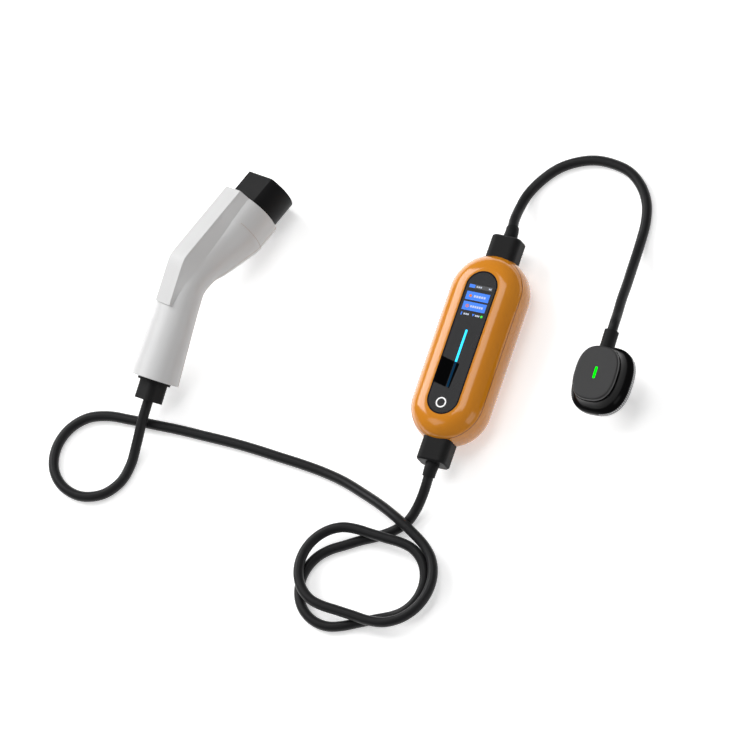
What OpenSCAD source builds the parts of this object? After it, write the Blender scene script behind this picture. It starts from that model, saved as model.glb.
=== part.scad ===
// Portable charger for electric cars: a control box between a mains plug lead and a charging cable with its connector.
// The box lies on its back. +X is its right, +Y points to the mains lead and +Z comes out of its display.

/* [Control box] */
// Length of the box, without its glands
body_l = 214; // [200:1:240]
// Width of the box
body_w = 87; // [84:1:96]
// Depth of the box from back to display
body_d = 53; // [50:1:60]
// Radius of the long edges of the box
edge_r = 25; // [22:0.5:25]
// Wall of both half shells
shell_t = 2.8; // [2:0.1:4]
// Depth of the front half shell, from display to parting line
front_d = 14; // [12:0.5:18]
// Side of the square seal cord in the parting line
seal_t = 1.2; // [0.8:0.1:1.4]

/* [Display panel] */
// Rim of the flat front that stays free around the panel
panel_rim = 0.5; // [0.3:0.1:3]
// Thickness of the panel
panel_t = 1.5; // [1:0.1:2]
// Width of the display module
display_w = 28; // [22:0.5:30]
// Length of the display module
display_l = 35; // [30:0.5:40]
// Depth of the display module
display_d = 5.5; // [4:0.5:7]
// Distance of the display's centre from the middle of the box
display_y = 47; // [42:0.5:52]
// Width of the light bar
bar_w = 2.4; // [1.6:0.1:4]
// Length of the light bar
bar_l = 66; // [40:1:70]
// Distance of the light bar's centre from the middle of the box
bar_y = -18; // [-20:0.5:-16]
// Diameter of the touch sensor behind the panel
touch_d = 16; // [10:0.5:20]
// Distance of the touch sensor's centre from the middle of the box
touch_y = -69; // [-71:0.5:-66]

/* [Electronics] */
// Width of the main board
board_w = 62; // [58:1:64]
// Length of the main board
board_l = 124; // [118:1:128]
// Thickness of the main board
board_t = 1.6; // [1:0.2:2.4]
// Height of the main board's underside above the back of the box
board_z = 15; // [12:0.5:17]
// Diameter of the standoffs under the main board
standoff_d = 8; // [7:0.5:9]
// Distance of the standoffs from the board's edges
standoff_inset = 6; // [5:0.5:8]
// Diameter of the shell screws and board screws
screw_d = 3; // [2.5:0.1:3.5]
// Radial clearance of screws and of pieces that slide into place
fit_gap = 0.15; // [0.1:0.05:0.3]

/* [Glands] */
// Width of the glands on the box
gland_w = 34; // [30:0.5:38]
// Depth of the glands on the box
gland_h = 26; // [22:0.5:28]
// Length that a gland stands out of the box
gland_l = 22; // [18:0.5:30]
// Corner radius of the glands
gland_r = 8; // [5:0.5:9]
// Narrowing of a gland towards its cable end
gland_taper = 1.5; // [0.5:0.1:3]
// Diameter of the stub that holds a gland in the box
gland_neck_d = 19; // [17:0.5:22]
// Length that the stub reaches into the box, measured from the box's end
gland_neck_l = 12; // [10:0.5:14]

/* [Cables] */
// Diameter of both cables
cable_d = 11; // [9:0.5:12]
// Height of the coil of charging cable
coil_h = 22.5; // [20:0.5:26]
// Mean radius of the coil's round ends
coil_r = 45; // [42:1:52]
// Length of the coil's straight sides
coil_straight = 57; // [40:1:70]
// Width of the coil's ring, seen from above
coil_ring = 30; // [14:1:34]

/* [Connector] */
// Length of the nose axis from the bend to the shell's front
nose_axis_l = 121; // [118:1:126]
// Length of the handle axis from the bend to its end
handle_l = 92; // [86:1:104]
// Bend between nose axis and handle axis
bend = 28.4; // [26:0.2:30]
// Radius of the shell's front collar
collar_r = 32.8; // [31.5:0.1:34]
// Half width of the handle at its end
handle_a = 29; // [27:0.5:31]
// Half height of the handle at its end
handle_b = 24; // [22:0.5:26]
// Half width of the raised spine
spine_w = 12.5; // [10:0.5:14]
// Height of the spine above the nose axis
spine_nose_h = 37.5; // [36:0.1:39]
// Height of the spine above the handle axis
spine_handle_h = 21.5; // [21:0.1:23]
// Wall of the connector's half shells
grip_t = 3; // [2:0.1:4]
// Radius of the nose
nose_r = 28.5; // [27.5:0.1:29]
// Distance of the nose's flat from its axis
nose_flat = 21; // [20:0.1:22]
// Length that the nose stands out of the shell
nose_l = 33; // [30:0.5:40]
// Length of the nose inside the shell
nose_seat_l = 14; // [10:0.5:18]
// Radius of a power pin's socket
power_r = 3; // [2.9:0.05:3.1]
// Radius of a signal pin's socket
signal_r = 1.5; // [1.4:0.05:1.6]
// Wall of the contact sleeves
sleeve_t = 1.2; // [0.8:0.1:1.5]
// Depth of the contact sleeves behind the nose's face
sleeve_in = 6; // [4:0.5:8]
// Length of the contact sleeves
sleeve_l = 26; // [20:0.5:28]
// Width of the strain relief on the handle
relief_w = 27; // [24:0.5:30]
// Depth of the strain relief on the handle
relief_h = 24; // [20:0.5:26]
// Length of the strain relief on the handle
relief_l = 20; // [18:0.5:30]
// Thickness of the strain relief's collar
relief_collar = 3; // [2:0.5:4]
// Diameter of the strain relief's stub inside the handle
relief_stub_d = 16; // [14:0.5:18]
// Thickness of the handle's end cap
end_cap_t = 6; // [4:0.5:8]

/* [Mains plug] */
// Width of the plug's cap
cap_w = 48; // [44:0.5:52]
// Length of the plug's cap
cap_l = 61; // [57:0.5:64]
// Thickness of the plug's cap
cap_t = 5; // [4:0.5:7]
// Width of the plug's flange
flange_w = 66; // [62:0.5:70]
// Length of the plug's flange
flange_l = 76; // [72:0.5:80]
// Thickness of the plug's flange
flange_t = 8; // [6:0.5:10]
// Height of the plug's body and cap above its insert
plug_h = 30; // [28:0.5:34]
// Distance of the cable's axis below the top of the cap
plug_cable_drop = 10; // [9.5:0.1:11]
// Diameter of the contact pins
pin_d = 4.8; // [4.6:0.05:4.9]
// Length of the contact pins
pin_l = 19; // [18:0.5:20]
// Depth of the round insert that enters the socket
insert_l = 15; // [12:0.5:17]
// Diameter of the round insert
insert_d = 37; // [35:0.5:38]
// Distance between the contact pins
pin_pitch = 19; // [18:0.5:20]
// Distance of the earth clips' faces from the middle of the plug
clip_y = 18.5; // [18.5:0.1:19]
// Diameter of the strain relief on the plug
plug_relief_d = 15.8; // [14:0.1:18]
// Length of the strain relief on the plug
plug_relief_l = 20; // [18:0.5:30]
// Length of the plug's indicator light
light_l = 13.2; // [10:0.2:18]
// Width of the plug's indicator light
light_w = 2.7; // [2:0.1:4]

/* [Hidden] */
$fn = 64;
TINY = 0.01;
BIG = 400;
ORANGE = "#d98a1f";
BLACK = "#1c1c1e";
RUBBER = "#232325";
WHITE = "#eceded";
GREEN = "#2f6b3c";
BRASS = "#c9b072";
STEEL = "#b9bcc0";

flat_w = body_w - 2 * edge_r;
flat_l = body_l - 2 * edge_r;
seam_z = body_d - front_d;
panel_w = flat_w - 2 * panel_rim;
panel_l = flat_l - 2 * panel_rim;
panel_z = body_d - panel_t;
board_top = board_z + board_t;
boss_d = screw_d + 5;
boss_x = flat_w / 2 - boss_d / 2 + 3;
boss_y = board_l / 2 + boss_d / 2 + 11;
head_d = 2 * screw_d;
head_h = 0.7 * screw_d;
screw_sink = 4;
nut_t = 4;
nut_seat = 7;
bar_base = 1;
touch_t = 1;
carrier_t = 5;
clamp_l = 8;
clip_w = 6;
clip_t = 1;
gland_z = body_d / 2;
cable_r = cable_d / 2;

// Boards and blocks on the main board: centre x, centre y, width, length, height
RELAYS = [[-14, 24, 16, 29, 18], [10, 24, 16, 29, 18]];
SUPPLY = [-10, -20, 30, 36, 17];
TERMINALS = [[0, 52, 34, 10, 12], [0, -52, 34, 10, 12]];
SENSOR = [18, -20, 24, 11];

// Ends of the connector's axes
nose_tip_x = nose_axis_l + nose_l;
function on_handle(t) = [-cos(bend) * t, -sin(bend) * t];

// Where the connector lies: heading, pitch and roll, then its bend point, so that collar and nose just clear the floor
grip_turn = [72.8, 10.5, -23];
floor_gap = 0.02;
grip_z = floor_gap + max(nose_axis_l * sin(grip_turn[1]) + collar_r * cos(grip_turn[1]),
    nose_tip_x * sin(grip_turn[1]) + nose_r * cos(grip_turn[1]));
grip_pos = [-328, -13.3, grip_z];
function roll_point(p, g) = [p[0], p[1] * cos(g) - p[2] * sin(g), p[1] * sin(g) + p[2] * cos(g)];
function pitch_point(p, g) = [p[0] * cos(g) + p[2] * sin(g), p[1], p[2] * cos(g) - p[0] * sin(g)];
function head_point(p, g) = [p[0] * cos(g) - p[1] * sin(g), p[0] * sin(g) + p[1] * cos(g), p[2]];
function connector_point(p) =
    grip_pos + head_point(pitch_point(roll_point(p, grip_turn[2]), grip_turn[1]), grip_turn[0]);
function relief_point(t) =
    let (p = on_handle(handle_l + relief_collar + relief_l + t))
    connector_point([p[0], 0, p[1]]);

// Where the plug lies: it stands on its pins
plug_pos = [163.7, -5.9];
plug_turn = 2;
plug_z = pin_l + insert_l;
cable_h = plug_h - plug_cable_drop;
relief_y = cap_l / 2 + 2 * fit_gap;
function plug_point(y) = [plug_pos[0] - sin(plug_turn) * y, plug_pos[1] + cos(plug_turn) * y, plug_z + cable_h];
plug_exit_y = relief_y + plug_relief_l;

// Where the coil lies
coil_pos = [-40, -262];
coil_turn = 9;

// Route of the mains lead, from the upper gland to the plug
LEAD = [[0, body_l / 2 + gland_l, gland_z], [0, body_l / 2 + gland_l + 8, gland_z], [-4, 151, 22], [-7, 168, 13.5],
    [-6, 187, 7.5], [3, 206, 5.5], [17, 222, 5.5], [34, 233, 5.5], [55, 240, 5.5], [77, 240, 5.5], [98, 234, 5.5],
    [116, 221, 5.5], [128, 204, 5.5], [134, 184, 5.5], [136.5, 164, 7], [139.5, 145, 12], [143.5, 125, 19.5],
    [148.5, 105, 29], [153, 86, 38.5], [158, 67, 47], plug_point(plug_exit_y + 8), plug_point(plug_exit_y)];
// Route of the charging cable from the connector, over its own loop, to the coil
RUN = [relief_point(0), relief_point(8), [-342, -146, 18.2], [-343, -168, 11], [-344, -190, 6], [-349, -211, 5.5],
    [-364, -228, 5.5], [-388, -235, 5.5], [-412, -228, 5.5], [-428, -211, 5.5], [-433, -188, 5.5],
    [-426, -166, 5.5], [-410, -150, 5.5], [-388, -143, 5.5], [-362, -142, 5.5], [-334, -142, 5.5],
    [-304, -142, 5.5], [-274, -143, 5.5], [-244, -144, 5.5], [-214, -146, 5.5], [-184, -149, 5.5],
    [-154, -152, 5.5], [-126, -156, 5.8], [-100, -162, 7.5], [-74, -171, 11], [-48, -181, 15.5],
    [-24, -192, 18.5], [-3, -203, 18.5], [12, -217, 17.2]];
// Route of the charging cable from the coil to the lower gland
TAIL = [[-60, -219, 5.5], [-44, -213, 5.5], [-28, -203, 5.5], [-16, -191, 6.2], [-9, -177, 10], [-4, -163, 16.5],
    [-1, -150, 22.8], [0, -body_l / 2 - gland_l - 8, gland_z], [0, -body_l / 2 - gland_l, gland_z]];

// Outline with round ends along Y
module stadium(w, l) {
    for (side = [-1, 1])
        translate([0, side * (l - w) / 2])
            circle(d = w);
    square([w, l - w], center = true);
}

// Rectangle with round corners
module round_rect(w, h, r) {
    square([w - 2 * r, h], center = true);
    square([w, h - 2 * r], center = true);
    for (x = [-1, 1], y = [-1, 1])
        translate([x * (w / 2 - r), y * (h / 2 - r)])
            circle(r);
}

// Pebble with a stadium outline and round long edges, standing on its back
module pebble(w, l, d, r) {
    module section() {
        translate([0, d / 2])
            round_rect(w, d, r);
    }
    for (side = [0, 180])
        rotate([0, 0, side])
            translate([0, (l - w) / 2, 0])
                rotate_extrude(angle = 180)
                    intersection() {
                        section();
                        translate([0, -d])
                            square([w, 3 * d]);
                    }
    rotate([90, 0, 0])
        linear_extrude(l - w, center = true)
            section();
}

module body_outside() {
    pebble(body_w, body_l, body_d, edge_r);
}

module body_inside() {
    translate([0, 0, shell_t])
        pebble(body_w - 2 * shell_t, body_l - 2 * shell_t, body_d - 2 * shell_t, edge_r - shell_t);
}

module slab(z0, z1) {
    translate([-BIG / 2, -BIG / 2, z0])
        cube([BIG, BIG, z1 - z0]);
}

module at_bosses() {
    for (x = [-1, 1], y = [-1, 1])
        translate([x * boss_x, y * boss_y, 0])
            children();
}

module at_standoffs() {
    for (x = [-1, 1], y = [-1, 1])
        translate([x * (board_w / 2 - standoff_inset), y * (board_l / 2 - standoff_inset), 0])
            children();
}

// Holes in the box's ends for the stubs of the glands
module gland_holes() {
    rotate([90, 0, 0])
        translate([0, gland_z, 0])
            cylinder(d = gland_neck_d + 2 * fit_gap, h = 2 * body_l, center = true);
}

// Half width of a wall surface of edge radius r at the parting line
function seam_half(r) = flat_w / 2 + sqrt(r * r - pow(seam_z - body_d + edge_r, 2));
seal_half = (seam_half(edge_r) + seam_half(edge_r - shell_t)) / 2;

module seal_ring(t) {
    w = 2 * seal_half;
    l = w + body_l - body_w;
    difference() {
        stadium(w + t, l + t);
        stadium(w - t, l - t);
    }
}

module front_shell() {
    color(ORANGE)
        difference() {
            union() {
                difference() {
                    body_outside();
                    body_inside();
                }
                intersection() {
                    body_outside();
                    at_bosses()
                        cylinder(d = boss_d, h = body_d - panel_t - 1);
                }
            }
            slab(-BIG, seam_z);
            translate([0, 0, panel_z])
                linear_extrude(BIG)
                    stadium(panel_w + 2 * fit_gap, panel_l + 2 * fit_gap);
            translate([0, display_y, 0])
                linear_extrude(BIG)
                    square([display_w + 2 * fit_gap, display_l + 2 * fit_gap], center = true);
            translate([0, bar_y, 0])
                linear_extrude(BIG)
                    stadium(bar_w + 2 * fit_gap, bar_l + 2 * fit_gap);
            at_bosses()
                cylinder(d = screw_d + 2 * fit_gap, h = seam_z + 8);
            gland_holes();
        }
}

module rear_shell() {
    color(ORANGE)
        difference() {
            union() {
                difference() {
                    body_outside();
                    body_inside();
                }
                intersection() {
                    body_outside();
                    union() {
                        at_bosses()
                            cylinder(d = boss_d, h = seam_z);
                        at_standoffs()
                            cylinder(d = standoff_d, h = board_z);
                    }
                }
            }
            slab(seam_z, BIG);
            translate([0, 0, seam_z - seal_t])
                linear_extrude(BIG)
                    seal_ring(seal_t);
            at_bosses() {
                cylinder(d = screw_d + 2 * fit_gap, h = seam_z + 1);
                cylinder(d = head_d + 2 * fit_gap, h = 2 * screw_sink, center = true);
            }
            at_standoffs()
                translate([0, 0, board_z - 7])
                    cylinder(d = screw_d + 2 * fit_gap, h = 8);
            gland_holes();
        }
}

module shell_seal() {
    color(RUBBER)
        translate([0, 0, seam_z - seal_t])
            linear_extrude(seal_t)
                seal_ring(seal_t);
}

// Pan head screw that points up, with its head's seat at z = 0
module screw(l) {
    translate([0, 0, -head_h])
        difference() {
            cylinder(d = head_d, h = head_h);
            translate([0, 0, -TINY])
                cylinder(d = screw_d, h = head_h / 2, $fn = 6);
        }
    translate([0, 0, -TINY])
        cylinder(d = screw_d, h = l + TINY);
}

module shell_screws() {
    color(STEEL)
        at_bosses()
            translate([0, 0, screw_sink])
                screw(seam_z - screw_sink + 7);
}

module display_panel() {
    color(BLACK)
        translate([0, 0, panel_z])
            difference() {
                linear_extrude(panel_t)
                    stadium(panel_w, panel_l);
                translate([0, bar_y, -TINY])
                    linear_extrude(panel_t + 2 * TINY)
                        stadium(bar_w + 2 * fit_gap, bar_l + 2 * fit_gap);
            }
}

module display_module() {
    color("#2c4f9e")
        translate([-display_w / 2, display_y - display_l / 2, panel_z - display_d])
            cube([display_w, display_l, display_d]);
}

module light_bar() {
    color("#35c7f2")
        translate([0, bar_y, body_d - shell_t - bar_base]) {
            linear_extrude(shell_t + bar_base)
                stadium(bar_w, bar_l);
            linear_extrude(bar_base)
                stadium(bar_w + 2 * bar_base, bar_l + 2 * bar_base);
        }
}

module touch_sensor() {
    color(GREEN)
        translate([0, touch_y, body_d - shell_t - touch_t])
            cylinder(d = touch_d, h = touch_t);
}

module main_board() {
    color(GREEN)
        difference() {
            translate([-board_w / 2, -board_l / 2, board_z])
                cube([board_w, board_l, board_t]);
            at_standoffs()
                translate([0, 0, board_z - 1])
                    cylinder(d = screw_d + 2 * fit_gap, h = board_t + 2);
        }
}

module board_screws() {
    color(STEEL)
        at_standoffs()
            translate([0, 0, board_top])
                mirror([0, 0, 1])
                    screw(board_t + 6);
}

// Block that stands on the main board
module block(b) {
    translate([b[0] - b[2] / 2, b[1] - b[3] / 2, board_top])
        cube([b[2], b[3], b[4]]);
}

module power_relays() {
    color(BLACK)
        for (b = RELAYS)
            block(b);
}

module power_supply() {
    color("#3a3a40")
        block(SUPPLY);
}

module leakage_sensor() {
    color("#2b4a7a")
        translate([SENSOR[0], SENSOR[1], board_top])
            difference() {
                cylinder(d = SENSOR[2], h = SENSOR[3]);
                translate([0, 0, -1])
                    cylinder(d = SENSOR[2] / 2, h = SENSOR[3] + 2);
            }
}

module terminal_blocks() {
    color("#4d7f4f")
        for (b = TERMINALS)
            block(b);
}

// Gland that points along +Y, with its stub inside the box
module gland() {
    out = body_l / 2 + gland_l;
    difference() {
        translate([0, 0, gland_z])
            rotate([-90, 0, 0])
                hull() {
                    linear_extrude(out - gland_taper)
                        round_rect(gland_w, gland_h, gland_r, $fn = 32);
                    linear_extrude(out)
                        round_rect(gland_w - 2 * gland_taper, gland_h - 2 * gland_taper, gland_r - gland_taper, $fn = 32);
                }
        body_outside();
    }
    translate([0, body_l / 2 - gland_neck_l, gland_z])
        rotate([-90, 0, 0])
            cylinder(d = gland_neck_d, h = gland_neck_l + gland_l / 2);
}

module upper_gland() {
    color(RUBBER)
        gland();
}

module lower_gland() {
    color(RUBBER)
        rotate([0, 0, 180])
            gland();
}

// Hexagon nuts that clamp the stubs against the inside of the box
module gland_nuts() {
    color(BLACK)
        for (side = [0, 180])
            rotate([0, 0, side])
                translate([0, body_l / 2 - nut_seat - nut_t, gland_z])
                    rotate([-90, 0, 0])
                        difference() {
                            cylinder(d = gland_neck_d + 8, h = nut_t, $fn = 6);
                            translate([0, 0, -1])
                                cylinder(d = gland_neck_d + 2 * fit_gap, h = nut_t + 2);
                        }
}

// Solid between rings of equal point count, with flat ends
module loft(rings) {
    n = len(rings[0]);
    m = len(rings);
    points = [for (r = rings) each r];
    sides = [for (i = [0:m - 2], j = [0:n - 1])
        let (k = (j + 1) % n)
            each [[i * n + j, i * n + k, (i + 1) * n + k], [i * n + j, (i + 1) * n + k, (i + 1) * n + j]]];
    first = [for (j = [n - 1:-1:0]) j];
    last = [for (j = [0:n - 1]) (m - 1) * n + j];
    polyhedron(points, concat(sides, [first, last]), convexity = 10);
}

function unit(v) = v / norm(v);

// Round tube along a route: one ring for each point, square to the route
function tube_rings(route, r, sides = 10) = [
    for (i = [0:len(route) - 1])
        let (
            before = route[max(i - 1, 0)],
            after = route[min(i + 1, len(route) - 1)],
            along = unit(after - before),
            across = unit(cross(along, [0, 0, 1])),
            up = cross(across, along)
        )
        [for (k = [0:sides - 1]) route[i] + r * (cos(360 * k / sides) * across + sin(360 * k / sides) * up)]
];

// Sections of the connector's shell along its middle plane, from the front to the handle's end:
// place x and z, turn, half width, half height, angle where the spine's flank meets the body, and spine or none
function section_row(p, turn, a, b, foot, spine) = [p[0], p[1], turn, a, b, foot, spine];
SECTIONS = [
    section_row([nose_axis_l, 0], 0, collar_r, collar_r, 34, true),
    section_row([nose_axis_l - 30, 0], 0, collar_r, collar_r, 37, true),
    section_row([nose_axis_l - 45, 1.2], 0, 31, 31, 40, true),
    section_row([nose_axis_l - 60, 3], 0, 28.5, 28.5, 44, true),
    section_row([nose_axis_l - 76, 5], 4, 26, 25.5, 49, true),
    section_row([30.9, 7], bend / 2, 25, 23, 55, true),
    section_row([18, 6.2], bend * 0.78, 25, 21.5, 50, true),
    section_row(on_handle(-8), bend, 25.5, 20.3, 42, true),
    section_row(on_handle(12), bend, 26, 20, 29, true),
    section_row(on_handle(12.2), bend, 26, 20, 29, false),
    section_row(on_handle(handle_l * 0.5), bend, 27.2, 21.6, 29, false),
    section_row(on_handle(handle_l), bend, handle_a, handle_b, 29, false)
];

// Height of the spine above a section's centre: the lower of its two flats
function spine_height(s) =
    let (
        up = [-sin(s[2]), cos(s[2])],
        normal = [-sin(bend), cos(bend)],
        over_nose = (spine_nose_h - s[1]) / cos(s[2]),
        over_handle = (spine_handle_h - [s[0], s[1]] * normal) / (up * normal)
    )
    min(over_nose, over_handle);

// Points of half a section, from spine to belly
function half_section(s) =
    let (
        h = spine_height(s),
        foot = [s[3] * sin(s[5]), s[4] * cos(s[5])],
        corner = [spine_w, h],
        top = s[6] ? [[0, h], [spine_w / 2, h], corner, corner + (foot - corner) / 2]
                   : [for (g = [0, 10, 20, 25]) [s[3] * sin(g), s[4] * cos(g)]],
        steps = 20
    )
    concat(top, [for (i = [0:steps]) let (g = s[5] + (180 - s[5]) * i / steps) [s[3] * sin(g), s[4] * cos(g)]]);

function place_point(s, p, side) =
    [s[0] - sin(s[2]) * p[1], side * p[0], s[1] + cos(s[2]) * p[1]];

// Points of the plain ellipse inside half a section, one for each point outside
function half_inside(s) =
    let (a = s[3] - grip_t, b = s[4] - grip_t, steps = 20)
    concat([for (k = [0:0.25:0.75]) [a * sin(k * s[5]), b * cos(k * s[5])]],
        [for (i = [0:steps]) let (g = s[5] + (180 - s[5]) * i / steps) [a * sin(g), b * cos(g)]]);

// Ring of a half shell: its outside and then its inside back, in the order that faces it outwards
function shell_ring(s, side) =
    let (
        outer = half_section(s),
        inner = half_inside(s),
        n = len(inner),
        ring = concat(outer, [for (i = [n - 1:-1:0]) inner[i]]),
        placed = [for (p = ring) place_point(s, p, side)]
    )
    side < 0 ? placed : [for (i = [len(placed) - 1:-1:0]) placed[i]];

// Solid between such rings, whose ends are strips from outside to inside
module shell_loft(rings) {
    n = len(rings[0]);
    m = len(rings);
    points = [for (r = rings) each r];
    sides = [for (i = [0:m - 2], j = [0:n - 1])
        let (k = (j + 1) % n)
            each [[i * n + j, i * n + k, (i + 1) * n + k], [i * n + j, (i + 1) * n + k, (i + 1) * n + j]]];
    ends = [for (j = [0:n / 2 - 2])
        let (o = n - 1 - j, top = (m - 1) * n)
            each [[j, o - 1, j + 1], [j, o, o - 1],
                [top + j, top + j + 1, top + o - 1], [top + j, top + o - 1, top + o]]];
    polyhedron(points, concat(sides, ends), convexity = 10);
}

module place_connector() {
    translate(grip_pos)
        rotate([0, 0, grip_turn[0]])
            rotate([0, grip_turn[1], 0])
                rotate([grip_turn[2], 0, 0])
                    children();
}

// Puts z = 0 at the handle's end, with +Z out of it and +X to its belly
module at_handle_end() {
    translate([-cos(bend) * handle_l, 0, -sin(bend) * handle_l])
        rotate([0, -90 - bend, 0])
            children();
}

// Screws that join the half shells: place in the middle plane and half width of the shell there
SHELL_SCREWS = [[62, 3, 28.3], [14, 3, 25], [on_handle(56)[0], on_handle(56)[1], 27.5]];
grip_boss_d = 8;
seam_turn = 17;
grip_sink = 7;
grip_bite = 12;

// Points a screw of the row p out of the middle plane to one side
module at_shell_screw(p, side) {
    translate([p[0], 0, p[1]])
        rotate([-90 * side, 0, 0])
            children();
}

// Half shell with its screw bosses: side 1 takes the heads and side -1 the threads
module half_shell(side) {
    color(WHITE)
        place_connector()
            difference() {
                union() {
                    shell_loft([for (s = SECTIONS) shell_ring(s, side)]);
                    for (p = SHELL_SCREWS)
                        at_shell_screw(p, side)
                            rotate([0, 0, seam_turn])
                                cylinder(d = grip_boss_d, h = p[2] - grip_t / 2);
                }
                for (p = SHELL_SCREWS)
                    at_shell_screw(p, side) {
                        translate([0, 0, -1])
                            cylinder(d = screw_d + 2 * fit_gap, h = (side > 0 ? p[2] : grip_bite) + 2);
                        if (side > 0)
                            translate([0, 0, p[2] - grip_sink])
                                cylinder(d = head_d + 2 * fit_gap, h = 2 * grip_sink);
                    }
            }
}

module connector_shell_left() {
    half_shell(1);
}

module connector_shell_right() {
    half_shell(-1);
}

module connector_screws() {
    color(STEEL)
        place_connector()
            for (p = SHELL_SCREWS)
                translate([p[0], p[2] - grip_sink, p[1]])
                    rotate([90, 0, 0])
                        screw(p[2] - grip_sink + grip_bite);
}

// Contact places on the nose's face, y and z: earth, line and neutral, then two spare lines and two signals
power_pitch = 17.4;
power_drop = 15;
signal_pitch = 9.2;
signal_rise = 13;
POWER = [[0, 0], [-power_pitch, 0], [power_pitch, 0]];
SPARE = [[-power_pitch / 2, -power_drop], [power_pitch / 2, -power_drop]];
SIGNAL = [[-signal_pitch, signal_rise], [signal_pitch, signal_rise]];

// Puts z = 0 at x along the nose axis, with +Z out of the nose and +Y to the spine
module along_nose(x) {
    translate([x, 0, 0])
        rotate([90, 0, 90])
            children();
}

module nose_outline(r, flat) {
    intersection() {
        circle(r);
        translate([-r, flat - 2 * r])
            square(2 * r);
    }
}

module at_contacts(places) {
    for (p = places)
        translate([p[0], p[1], 0])
            children();
}

// Chamber for a contact sleeve, with a narrower mouth at the nose's face
module contact_chamber(r) {
    length = nose_seat_l + nose_l;
    translate([0, 0, -1])
        cylinder(r = r + sleeve_t + fit_gap, h = length - sleeve_in + 1);
    translate([0, 0, length - sleeve_in - 1])
        cylinder(r = r + sleeve_t / 2, h = sleeve_in + 2);
}

module connector_nose() {
    color(BLACK)
        place_connector()
            along_nose(nose_axis_l - nose_seat_l)
                difference() {
                    linear_extrude(nose_seat_l + nose_l)
                        nose_outline(nose_r, nose_flat);
                    at_contacts(concat(POWER, SPARE))
                        contact_chamber(power_r);
                    at_contacts(SIGNAL)
                        contact_chamber(signal_r);
                }
}

// Ring that seals the nose in the shell's collar
module nose_seal() {
    color(RUBBER)
        place_connector()
            along_nose(nose_axis_l - nose_seat_l)
                linear_extrude(nose_seat_l - 1.5)
                    difference() {
                        circle(collar_r - grip_t - fit_gap);
                        nose_outline(nose_r + fit_gap, nose_flat + fit_gap);
                    }
}

module sleeve(r) {
    difference() {
        cylinder(r = r + sleeve_t, h = sleeve_l);
        translate([0, 0, -1])
            cylinder(r = r, h = sleeve_l + 2);
    }
}

module power_sleeves() {
    color(BRASS)
        place_connector()
            along_nose(nose_tip_x - sleeve_in - sleeve_l)
                at_contacts(POWER)
                    sleeve(power_r);
}

module signal_sleeves() {
    color(BRASS)
        place_connector()
            along_nose(nose_tip_x - sleeve_in - sleeve_l)
                at_contacts(SIGNAL)
                    sleeve(signal_r);
}

// Plate behind the nose that closes its chambers
module contact_carrier() {
    color("#3a3a3d")
        place_connector()
            along_nose(nose_axis_l - nose_seat_l - carrier_t)
                linear_extrude(carrier_t)
                    circle(collar_r - grip_t - fit_gap);
}

// Ellipse across the handle, with its long half width a across the middle plane
module handle_outline(a, b) {
    steps = 48;
    polygon([for (i = [0:steps - 1]) [b * cos(360 * i / steps), a * sin(360 * i / steps)]]);
}

module handle_end_cap() {
    inset = grip_t + 0.4;
    color(WHITE)
        place_connector()
            at_handle_end()
                translate([0, 0, -end_cap_t])
                    difference() {
                        linear_extrude(end_cap_t)
                            handle_outline(handle_a - inset, handle_b - inset);
                        translate([0, 0, -1])
                            cylinder(d = relief_stub_d + 2 * fit_gap, h = end_cap_t + 2);
                    }
}

// Clamp ring that holds the strain relief's stub behind the end cap
module cable_clamp() {
    color(STEEL)
        place_connector()
            at_handle_end()
                translate([0, 0, -end_cap_t - clamp_l])
                    difference() {
                        cylinder(d = relief_stub_d + 10, h = clamp_l);
                        translate([0, 0, -1])
                            cylinder(d = relief_stub_d + 2 * fit_gap, h = clamp_l + 2);
                    }
}

module connector_gland() {
    color(RUBBER)
        place_connector()
            at_handle_end() {
                linear_extrude(relief_collar)
                    round_rect(relief_h + 7, relief_w + 7, relief_h / 2);
                linear_extrude(relief_collar + relief_l)
                    round_rect(relief_h, relief_w, 7);
                translate([0, 0, -end_cap_t - clamp_l - 2])
                    cylinder(d = relief_stub_d, h = end_cap_t + clamp_l + 4);
            }
}

module place_plug() {
    translate([plug_pos[0], plug_pos[1], plug_z])
        rotate([0, 0, plug_turn])
            children();
}

// Ring of points on a rounded outline of a given width and length, at height z
function oval_ring(w, l, z, steps = 64, power = 2.6) = [
    for (i = [0:steps - 1])
        let (
            g = 360 * i / steps,
            k = pow(pow(abs(cos(g)), power) + pow(abs(sin(g)), power), -1 / power)
        )
        [w / 2 * k * cos(g), -l / 2 * k * sin(g), z]
];

cap_edge = 1.5;
cap_seat = plug_h - cap_t;
waist_in = 3;

module plug_cap() {
    color(BLACK)
        place_plug()
            difference() {
                loft([
                    oval_ring(cap_w - cap_edge, cap_l - cap_edge, cap_seat),
                    oval_ring(cap_w, cap_l, cap_seat + cap_edge),
                    oval_ring(cap_w, cap_l, plug_h - cap_edge),
                    oval_ring(cap_w - 0.6 * cap_edge, cap_l - 0.6 * cap_edge, plug_h - 0.3 * cap_edge),
                    oval_ring(cap_w - 2 * cap_edge, cap_l - 2 * cap_edge, plug_h)
                ]);
                translate([0, 0, cap_seat - 1])
                    linear_extrude(cap_t + 2)
                        stadium(light_w + 2 * fit_gap, light_l + 2 * fit_gap);
            }
}

light_base = 1;
light_rim = 1.5;
light_board_t = 1.6;
light_board_w = light_w + 14;
light_board_l = light_l + 12;

module plug_light() {
    color("#2cff3a")
        place_plug() {
            translate([0, 0, cap_seat - light_base])
                linear_extrude(light_base + cap_t)
                    stadium(light_w, light_l);
            translate([0, 0, cap_seat - light_base])
                linear_extrude(light_base)
                    stadium(light_w + 2 * light_rim, light_l + 2 * light_rim);
        }
}

module light_board_outline(gap) {
    square([light_board_w + 2 * gap, light_board_l + 2 * gap], center = true);
}

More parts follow.
